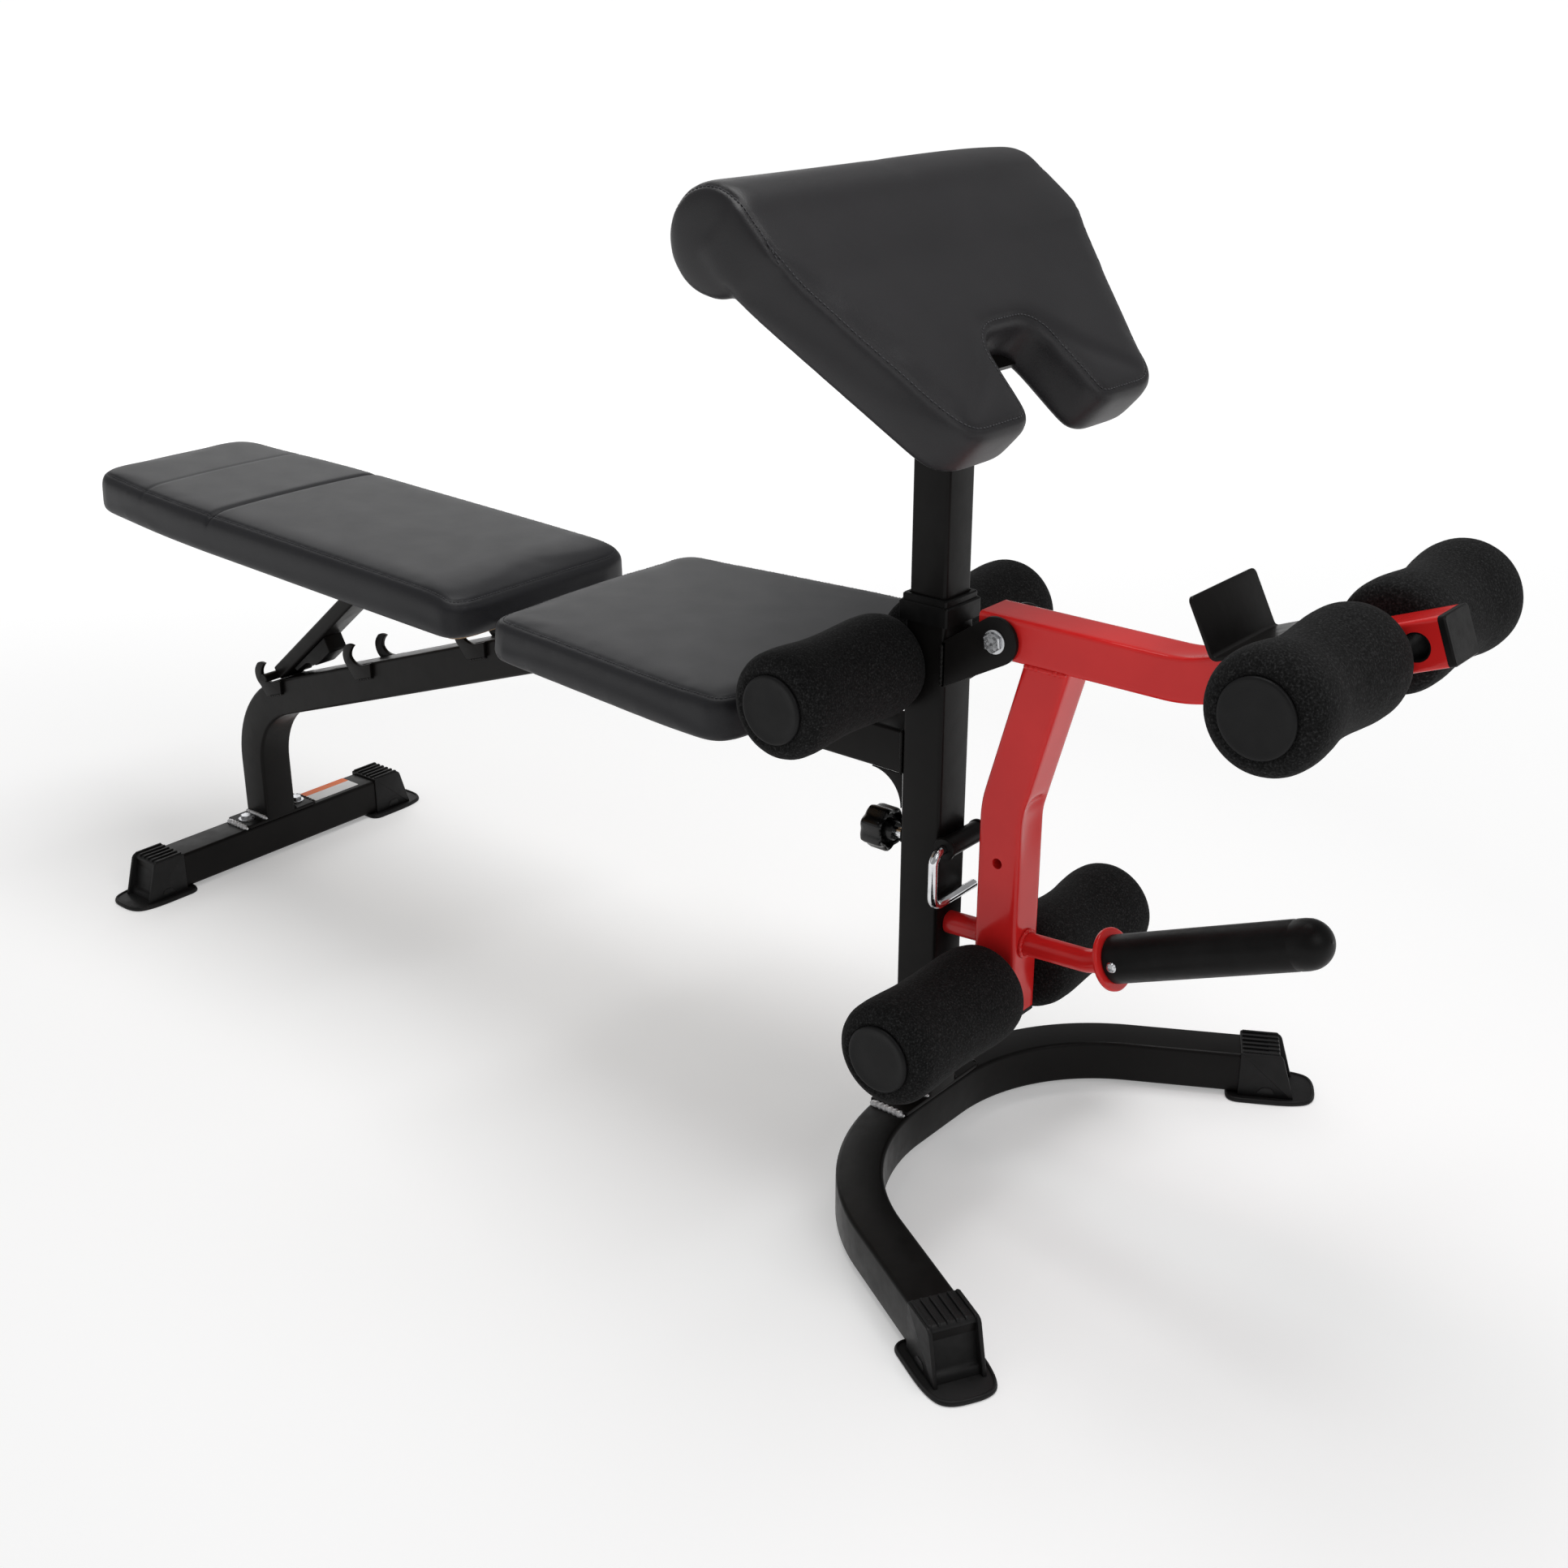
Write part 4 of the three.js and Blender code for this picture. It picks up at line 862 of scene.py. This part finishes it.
# the middle (x, z) of each bar, and how far out its rollers reach
rollerBars = {"seat": (-0.044, 0.556, 0.216), "arm": (0.4584, 0.6726, 0.218), "shin": (0.098, 0.227, 0.224)}


def makeRollers():
    for name, (x, z, half) in rollerBars.items():
        for side, word in sides:
            outer = half - roller["edge"]
            centre, axis = (postX + x, side * outer, z), (0, -side, 0)
            waist = roller["waist"][name + word]
            squeezed = [(roller["full"] + (r - roller["full"]) * waist if 0.02 < s < 0.17 else r, s)
                        for r, s in roller["profile"]]
            fine = smoothProfile(squeezed, 70)
            skin = [(0.0128, 0.004), (0.030, 0.0035), (0.037, 0.0012)] + [tuple(p) for p in fine]
            skin += [(0.036, 0.1878), (0.0128, 0.1872)]
            spin = f"{name}_roller_{word.lower()}"
            title = name + "Roller" + word
            foamPiece = piece(title + "Foam", lathe(skin, centre, axis, 72), blackFoam, spin,
                              [spin + "_foam"], angle=60)
            d, e = roller["disc"], roller["edge"]
            face = [(0.0125, 0.018), (0.0125, 0.001), (d - 0.001, 0.001), (d, 0.0003), (d, -e * 0.55),
                    (d - 0.0012, -e * 0.95), (d - 0.0032, -e), (d - 0.006, -e * 0.80), (d - 0.012, -e * 0.72),
                    (0.012, -e * 0.80), (0.0003, -e * 0.84)]
            piece(title + "Disc", lathe(face, centre, axis, 72), discPlastic, spin,
                  [spin + "_disc"], angle=50)
    print("rollers made")


makeRollers()


strut = {"top": (-0.866, 0.491), "half": 0.010, "halfY": 0.020, "rod": 0.006, "rodHalf": 0.040,
         "guardHalf": 0.015}


def makeStrut():
    foot, top = np.array(rods[0]), np.array(strut["top"])
    length = float(np.linalg.norm(top - foot))
    pitch = -math.atan2(top[1] - foot[1], top[0] - foot[0])
    place = (postX + foot[0], 0, foot[1])
    section = roundedBox(strut["halfY"], strut["half"], 0.0035)
    path = np.array([[x, 0, 0] for x in np.linspace(0.006, length + 0.008, 9)])
    piece("strutTube", at(sweep(path, section, acrossY), place, pitch), blackPaint, "strut",
          ["strut"])
    half, r = strut["rodHalf"], strut["rod"]
    rod = lathe([(0.0003, -half), (r - 0.001, -half), (r, -half + 0.001), (r, half - 0.001), (r - 0.001, half),
                 (0.0003, half)], (0, 0, 0), acrossY, 32)
    piece("strutRod", at(rod, place, pitch), blackPaint, "strut")
    block = roundedOutline([(0.040, -0.0103, 0.001), (0.042, -0.017, 0.002), (0.072, -0.019, 0.006),
                            (0.088, -0.032, 0.006), (0.130, -0.032, 0.004), (0.134, -0.0103, 0.001)])
    wide = strut["guardHalf"]
    piece("strutGuard", at(slab(block, -wide, wide, 0.0015), place, pitch), blackPlastic, "strut",
          ["strut_guard"])


lockPin = {"radius": 0.005, "tail": 0.027, "reach": 0.061, "out": 0.050, "bend": 0.013}


def makeLockPin():
    # a wire bent into a long U, its free end turned in
    x, z = rail["pin"]
    tail, low, out, bend = lockPin["tail"], z - lockPin["reach"], lockPin["out"], lockPin["bend"]
    line = roundedPath([(tail, z), (-out, z, bend), (-out, low, bend), (tail, low)], 12)
    path = np.stack([np.full(len(line), postX + x), line[:, 0], line[:, 1]], 1)
    tip = np.ones(len(path))
    path = np.concatenate([path, path[-1:] + [[0, 0.0012, 0]]])
    path[-2, 1] -= 0.0008
    wire = sweep(path, circle(lockPin["radius"], 24), alongX, np.append(tip, 0.75))
    piece("lockPin", wire, chromeSteel, "lock_pin", ["lock_pin"])


knob = {"radius": 0.0235, "lobe": 0.0016, "lobes": 7, "start": -0.083, "length": 0.030}


def makeKnob():
    # its radius rises and falls around the axis, and its rims are rounded
    turn = np.linspace(0, 2 * math.pi, 168, endpoint=False)
    wave = np.cos(knob["lobes"] * turn)
    back, front = knob["start"], knob["start"] + knob["length"]
    rows = [(back, 0.15), (back, 0.62), (back + 0.001, 0.82), (back + 0.004, 0.96), (back + 0.008, 1.0),
            (front - 0.004, 1.0), (front - 0.0015, 0.97), (front, 0.90), (front - 0.001, 0.82),
            (front - 0.006, 0.76), (front - 0.006, 0.54), (front + 0.004, 0.46), (front + 0.006, 0.40),
            (front + 0.006, 0.10)]
    rings = []
    for x, share in rows:
        radius = share * knob["radius"] + knob["lobe"] * wave * np.clip((share - 0.6) / 0.3, 0, 1)
        height = rail["knobZ"] + radius * np.sin(turn)
        rings.append(np.stack([np.full(len(turn), x), radius * np.cos(turn), height], 1))
    piece("heightKnob", fromPost(loft(rings)), glossPlastic, "height_knob", ["height_knob"])
    stem = lathe([(0.0003, 0), (0.006, 0), (0.006, 0.033), (0.0045, 0.034), (0.0003, 0.034)],
                 (postX + front + 0.001, 0, rail["knobZ"]), alongX, 24)
    piece("knobStem", stem, chromeSteel, "height_knob")


makeStrut()
makeLockPin()
makeKnob()
print("strut, pin and knob made")


pads = {"voxel": 0.005, "pressure": 4.0, "frames": 20, "cap": 0.0025, "inset": 0.001, "board": 0.012,
        "seam": (0.0022, 0.0011)}


def relaxed(obj, times):
    # each point pulled halfway to the middle of its neighbours, so many times
    relax = obj.modifiers.new("relax", "SMOOTH")
    relax.factor = 0.5
    relax.iterations = times
    bake(obj)


def remeshed(name, shape, voxel):
    # one even skin around shapes that overlap
    obj = newObject(name, meshOf(name, shape))
    remesh = obj.modifiers.new("remesh", "REMESH")
    remesh.mode = "VOXEL"
    remesh.voxel_size = voxel
    relaxed(obj, 4)
    return obj


def pointsOf(mesh):
    points = np.zeros(len(mesh.vertices) * 3, np.float32)
    mesh.vertices.foreach_get("co", points)
    return points.reshape(-1, 3).astype(float)


def setPoints(mesh, points):
    mesh.vertices.foreach_set("co", points.astype(np.float32).ravel())
    mesh.update()


def puff(obj, held, cap):
    # blows the cover up against its own stiffness, held where it is stapled to the board
    rest = pointsOf(obj.data)
    group = obj.vertex_groups.new(name="held")
    group.add([int(i) for i in np.nonzero(held)[0]], 1.0, "REPLACE")
    cloth = obj.modifiers.new("cloth", "CLOTH")
    settings = cloth.settings
    settings.quality = 4
    settings.mass = 0.3
    settings.tension_stiffness = settings.compression_stiffness = 20
    settings.shear_stiffness = 8
    settings.bending_stiffness = 1.5
    settings.use_pressure = True
    settings.uniform_pressure_force = pads["pressure"]
    settings.vertex_group_mass = "held"
    settings.effector_weights.gravity = 0
    cloth.point_cache.frame_start, cloth.point_cache.frame_end = 1, pads["frames"]
    scene = bpy.context.scene
    for step in range(1, pads["frames"] + 1):
        scene.frame_set(step)
    moved = obj.evaluated_get(bpy.context.evaluated_depsgraph_get()).to_mesh()
    shift = pointsOf(moved) - rest
    obj.modifiers.clear()
    obj.vertex_groups.clear()
    scene.frame_set(1)
    length = np.linalg.norm(shift, axis=1, keepdims=True)
    setPoints(obj.data, rest + shift * np.minimum(1, cap / np.maximum(length, 1e-9)))


def refine(obj, levels=1):
    subdivision = obj.modifiers.new("fine", "SUBSURF")
    subdivision.levels = subdivision.render_levels = levels
    bake(obj)


def normalsOf(mesh):
    normals = np.zeros(len(mesh.vertices) * 3, np.float32)
    mesh.vertices.foreach_get("normal", normals)
    return normals.reshape(-1, 3).astype(float)


def groove(obj, path, width, depth):
    # sinks the surface along a path: depth times a bell curve of the distance to the path's nearest point
    points, normals = pointsOf(obj.data), normalsOf(obj.data)
    low, high = path.min(0) - 4 * width, path.max(0) + 4 * width
    near = np.nonzero(np.all((points > low) & (points < high), 1))[0]
    distance = np.full(len(near), 1.0)
    for start in range(0, len(path), 64):
        part = path[start:start + 64]
        distance = np.minimum(distance, np.linalg.norm(points[near, None] - part[None], axis=2).min(1))
    points[near] -= (depth * np.exp(-(distance / width) ** 2))[:, None] * normals[near]
    setPoints(obj.data, points)


def onSurface(obj, start, way):
    # where rays from the start points first meet the piece, and the surface's normals there
    tree = BVHTree.FromObject(obj, bpy.context.evaluated_depsgraph_get())
    hits = [tree.ray_cast(Vector(p), Vector(d)) for p, d in zip(start, np.broadcast_to(way, start.shape))]
    kept = [(hit[0], hit[1]) for hit in hits if hit[0] is not None]
    return np.array([h[0] for h in kept]), np.array([h[1] for h in kept])


def stitches(name, path, normals, body, pitch=0.0046, length=0.0031, radius=0.0006):
    # short threads laid end to end along a seam, each one a flat-ended grain that bows up from the cover
    line = walk(path, np.arange(0, lengthAlong(path)[-1], pitch))
    nearest = [int(np.argmin(np.linalg.norm(path - p, axis=1))) for p in line]
    up = unit(normals[nearest])
    along = unit(np.gradient(line, axis=0))
    side = unit(np.cross(along, up))
    share = np.linspace(-1, 1, 5)
    section = circle(1.0, 6)
    size = radius * np.sqrt(1 - (0.85 * share) ** 2)
    lift = 0.00025 + 0.0002 * (1 - share ** 2)
    centre = (line[:, None] + 0.5 * length * share[None, :, None] * along[:, None]
              + lift[None, :, None] * up[:, None])
    ring = section[None, None, :, :1] * side[:, None, None] + section[None, None, :, 1:] * up[:, None, None]
    rings = centre[:, :, None] + size[None, :, None, None] * ring
    shapes = [loft(one) for one in rings]
    return piece(name, together(*shapes), thread, body, angle=60)


def cushion(name, shapes, held, low, high):
    # a firm padded form: remeshed, blown up a little, evened out, fitted to its box again and refined
    obj = remeshed(name, together(*shapes), pads["voxel"])
    puff(obj, held(pointsOf(obj.data)), pads["cap"])
    relaxed(obj, 8)
    points = pointsOf(obj.data)
    size = (np.array(high) - low) / (points.max(0) - points.min(0))
    setPoints(obj.data, (points - points.min(0)) * size + low)
    refine(obj)
    return obj


def boardUnder(name, corners, low, centre, pitch, body, node):
    # the plywood inside the cover shows only within the rim that the cover is folded over
    outline = resample(roundedOutline(corners, 10), 0.006)
    inner = outline + 0.016 * inward(outline)
    sheet = slab(inner, low, low + pads["board"] * 0.9, 0.0008, "xy")
    piece(name, at(sheet, centre, pitch), plywood, body, [node])


def finishPad(obj, centre, pitch, material, body, stands):
    # moves a cover from the pad's own plane to its place, and hands it over
    setPoints(obj.data, moved(pointsOf(obj.data), centre, pitch))
    obj.data.polygons.foreach_set("use_smooth", np.ones(len(obj.data.polygons), bool))
    obj.data.materials.clear()
    obj.data.materials.append(material)
    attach(obj, body)
    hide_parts(*stands)


def seamFrom(obj, start, way, name, body, sunk):
    # a seam where rays along way meet the cover: a groove (width, depth) with stitches in it
    path, normals = onSurface(obj, start, way)
    groove(obj, path, *sunk)
    path, normals = onSurface(obj, path + 0.02 * unit(normals), -normals)
    stitches(name, path, normals, body)


seat = {"low": 0.503, "high": 0.548, "edge": 0.013, "seamInset": 0.011}
seatCorners = [(-0.498, -0.168, 0.030), (-0.187, -0.202, 0.060), (-0.112, -0.202, 0.050), (-0.112, 0.202, 0.050),
               (-0.187, 0.202, 0.060), (-0.498, 0.168, 0.030), (-0.507, 0.0, 0.140)]
back = {"low": 0.013, "high": 0.063, "edge": 0.016, "seamInset": 0.012, "hinge": rail["hinge"],
        "pitch": math.radians(1.9), "droop": 0.011,
        "creases": ((-0.470, 0.0040, 0.0040), (-0.623, 0.0010, 0.0030))}
backCorners = [(-0.758, -0.128, 0.045), (-0.560, -0.146, 0.080), (-0.060, -0.150, 0.060), (0.006, -0.150, 0.055),
               (0.006, 0.150, 0.055), (-0.060, 0.150, 0.060), (-0.560, 0.146, 0.080), (-0.758, 0.128, 0.045)]


def padSlab(corners, setting, edge):
    outline = resample(roundedOutline(corners, 10), 0.006)
    inset = outline + pads["inset"] * inward(outline)
    return slab(inset, setting["low"] - pads["board"], setting["high"], edge, "xy", 5)


def rimLine(corners, inset):
    outline = resample(roundedOutline(corners, 10), 0.003)
    return outline + inset * inward(outline)


def makeSeat():
    obj = cushion("seatCushion", [padSlab(seatCorners, seat, seat["edge"])], lambda p: p[:, 2] < seat["low"],
                  (-0.507, -0.202, seat["low"] - pads["board"] + 0.0006), (-0.112, 0.202, seat["high"] - 0.004))
    points = pointsOf(obj.data)
    x, y = (points[:, 0] + 0.31) / 0.20, points[:, 1] / 0.20
    points[:, 2] += 0.004 * np.clip(1 - x ** 2, 0, 1) * np.clip(1 - y ** 2, 0, 1) * (points[:, 2] > 0.53)
    setPoints(obj.data, points)
    finishPad(obj, (postX, 0, 0), 0, seatHide, "frame", ["seat_cushion"])
    boardUnder("seatBoard", seatCorners, seat["low"] - pads["board"], (postX, 0, 0), 0, "frame", "seat_board")
    line = rimLine(seatCorners, seat["seamInset"])
    seamFrom(obj, lifted(line + (postX, 0), 0.60), (0, 0, -1), "seatStitches", "frame", pads["seam"])


def makeBack():
    obj = cushion("backCushion", [padSlab(backCorners, back, back["edge"])], lambda p: p[:, 2] < back["low"],
                  (-0.758, -0.150, back["low"] - pads["board"] + 0.0006), (0.006, 0.150, back["high"] - 0.003))
    points = pointsOf(obj.data)
    top = np.clip((points[:, 2] - 0.035) / 0.015, 0, 1)
    for x, depth, width in back["creases"]:
        points[:, 2] -= depth * top * np.exp(-np.abs((points[:, 0] - x) / width) ** 1.5)
    points[:, 2] += 0.003 * top * np.clip(1 - (points[:, 1] / 0.15) ** 2, 0, 1)
    points[:, 2] -= back["droop"] * top * np.clip((points[:, 0] + 0.075) / 0.081, 0, 1) ** 2
    setPoints(obj.data, points)
    pitch, place = back["pitch"], (postX + back["hinge"][0], 0, back["hinge"][1])
    finishPad(obj, place, pitch, seatHide, "backrest", ["back_cushion"])
    boardUnder("backBoard", backCorners, back["low"] - pads["board"], place, pitch, "backrest", "back_board")
    way = (-math.sin(pitch), 0, -math.cos(pitch))
    start = moved(lifted(rimLine(backCorners, back["seamInset"]), 0.12), place, pitch)
    seamFrom(obj, start, way, "backStitches", "backrest", pads["seam"])
    # a thin dark tube sunk into the first crease: painted shade along the fold
    across = np.array([[back["creases"][0][0], y] for y in np.linspace(-0.138, 0.138, 140)])
    fold, normals = onSurface(obj, moved(lifted(across, 0.12), place, pitch), way)
    piece("backFoldShade", sweep(fold - 0.0002 * normals, circle(0.0009, 8), alongX), blackPlastic, "backrest",
          angle=60)


curl = {"angle": math.radians(43.3), "z": 0.977, "thick": 0.050, "topHalf": 0.254, "taper": 0.405, "start": -0.020,
        "end": 0.203, "notch": 0.102, "roll": (-0.075, -0.0473, 0.052, 0.252), "edge": 0.014,
        "droop": 0.013, "seam": (0.0024, 0.0013)}


def curlOutline(start, end, inset=0.0):
    # the pad's plan: it tapers down the slope and has a notch for the body in its lower edge
    def half(s):
        return curl["topHalf"] - curl["taper"] * max(0.0, s - curl["start"])
    prong, notch, top = 0.060, 0.042, curl["notch"]
    nearSide = [(start, -half(start), 0.004), (curl["start"], -half(curl["start"]), 0.05),
                (end, -half(end), 0.034), (end, -prong + 0.004, 0.024), (top, -notch, 0.026)]
    farSide = [(a, -b, r) for a, b, r in nearSide[::-1]]
    outline = resample(roundedOutline(nearSide + farSide, 10), 0.004)
    return outline + inset * inward(outline)


def makeCurlPad():
    s, n, radius, half = curl["roll"]
    bottom = -curl["thick"] - pads["board"]
    body = slab(curlOutline(s, curl["end"], pads["inset"]), bottom, -0.001, curl["edge"], "xy", 5)
    down = np.linspace(s, 0.06, 16)
    top = np.interp(down, [s, -0.02, 0.06], [n + radius - 0.001, 0.0012, -0.004])
    reach = curl["topHalf"] - 0.003 - curl["taper"] * np.maximum(0, down - curl["start"])
    bridge = loft([np.column_stack([np.full(4, a), np.array([-1, 1, 1, -1]) * w, [b, b, -0.03, -0.03]])
                   for a, b, w in zip(down, top, reach)])
    r = radius
    profile = [(0.001, -half + 0.003), (r - 0.014, -half + 0.003), (r - 0.005, -half + 0.007), (r, -half + 0.016),
               (r, half - 0.016), (r - 0.005, half - 0.007), (r - 0.014, half - 0.003), (0.001, half - 0.003)]
    roll = lathe(profile, (s, 0, n), acrossY, 64)
    obj = cushion("curlPad", [body, roll, bridge], lambda p: (p[:, 2] < -curl["thick"]) & (p[:, 0] > -0.02),
                  (s - radius, -curl["topHalf"], n - radius), (curl["end"], curl["topHalf"], n + radius))
    points = pointsOf(obj.data)
    far = np.clip(points[:, 1] / curl["topHalf"], 0, 1)
    points[:, 2] -= curl["droop"] * far ** 3 * np.clip(-points[:, 0] / 0.07, 0, 1)
    setPoints(obj.data, points)
    place, tilt = (postX, 0, curl["z"]), curl["angle"]
    finishPad(obj, place, tilt, curlHide, "arm_curl_pad", ["curl_pad"])
    line = curlOutline(s + 0.03, curl["end"], 0.012)
    line = np.roll(line, -int(np.argmin(line[:, 0] + 2 * line[:, 1])), 0)
    keep = line[line[:, 0] > s + 0.044]
    way = (-math.sin(tilt), 0, -math.cos(tilt))
    seamFrom(obj, moved(lifted(keep, 0.05), place, tilt), way, "curlStitches", "arm_curl_pad", curl["seam"])
    for side, word in sides:
        turn = np.linspace(math.radians(36), math.radians(262), 110)
        ring = np.stack([s + 0.08 * np.cos(turn), np.full(110, side * (half - 0.011)), n + 0.08 * np.sin(turn)], 1)
        way = moved(np.stack([-np.cos(turn), 0 * turn, -np.sin(turn)], 1), (0, 0, 0), tilt)
        seamFrom(obj, moved(ring, place, tilt), way, "rollStitches" + word, "arm_curl_pad", curl["seam"])


makeSeat()
makeBack()
makeCurlPad()
print("pads made")


def makePost():
    corners = [(0, 0.240), (0, curl["z"] - 0.0725)]
    sideTube("curlPost", corners, 0.0225, 0.0225, blackPaint, "arm_curl_pad", ["curl_post"])


makePost()
# the plain nodes that stay, each with a finish of its own
kept = [(blackPaint, ["seat_bracket", "seat_roller_bar", "back_frame", "arm_roller_bar", "shin_roller_bar",
                      "curl_bracket"]),
        (plywood, ["curl_board"]), (zincSteel, ["strut_bolt"])]
for material, names in kept:
    for name in names:
        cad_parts[name].data.materials.clear()
        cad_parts[name].data.materials.append(material)


studio = {"floor": 160.0, "white": 0.84, "nearGlow": 0.30, "farGlow": 0.76, "sky": 0.3}
camera = {"place": (1.5095, -1.5945, 1.2482), "azimuth": math.radians(39.6), "elevation": math.radians(23.1),
          "lens": 46.15}


def makeStudio():
    half = studio["floor"]
    mesh = bpy.data.meshes.new("floor")
    mesh.from_pydata([(-half, -half, 0), (half, -half, 0), (half, half, 0), (-half, half, 0)], [], [[0, 1, 2, 3]])
    floor = newObject("floor", mesh)
    material, tree, shader, coordinates = newMaterial("floorPaint")
    shader.inputs["Base Color"].default_value = (studio["white"],) * 3 + (1,)
    shader.inputs["Roughness"].default_value = 0.9
    shader.inputs["Specular IOR Level"].default_value = 0.0
    shader.inputs["Emission Color"].default_value = (1, 1, 1, 1)
    distance = tree.nodes.new("ShaderNodeVectorMath")
    distance.operation = "LENGTH"
    tree.links.new(coordinates, distance.inputs[0])
    glow = levels(tree, distance.outputs["Value"], studio["nearGlow"], studio["farGlow"], 1.2, 4.4)
    tree.links.new(glow, shader.inputs["Emission Strength"])
    mesh.materials.append(material)
    world = bpy.data.worlds.new("studioSky")
    world.use_nodes = True
    world.node_tree.nodes["Background"].inputs["Color"].default_value = (1, 1, 1, 1)
    world.node_tree.nodes["Background"].inputs["Strength"].default_value = studio["sky"]
    bpy.context.scene.world = world
    lamps = [("keyLamp", (-3.4, 2.2, 2.2), 3.0, 30), ("topLamp", (0.2, 0.3, 3.4), 1.8, 52),
             ("sideLamp", (2.6, -0.6, 2.2), 1.6, 12), ("frontLamp", (-1.6, -3.0, 1.8), 2.0, 4)]
    for name, place, size, power in lamps:
        light = bpy.data.lights.new(name, "AREA")
        light.shape = "SQUARE"
        light.size = size
        light.energy = power
        lamp = newObject(name, light)
        lamp.location = place
        lamp.rotation_euler = (Vector((0.1, 0, 0.45)) - Vector(place)).to_track_quat("-Z", "Y").to_euler()
    bpy.context.scene.view_settings.view_transform = "Standard"


def makeCamera():
    data = bpy.data.cameras.new("camera")
    data.lens = camera["lens"]
    data.sensor_width = 36
    obj = newObject("camera", data)
    azimuth, elevation = camera["azimuth"], camera["elevation"]
    forward = Vector((-math.sin(azimuth) * math.cos(elevation), math.cos(azimuth) * math.cos(elevation),
                      -math.sin(elevation)))
    obj.location = camera["place"]
    obj.rotation_euler = forward.to_track_quat("-Z", "Y").to_euler()
    bpy.context.scene.camera = obj


makeStudio()
makeCamera()
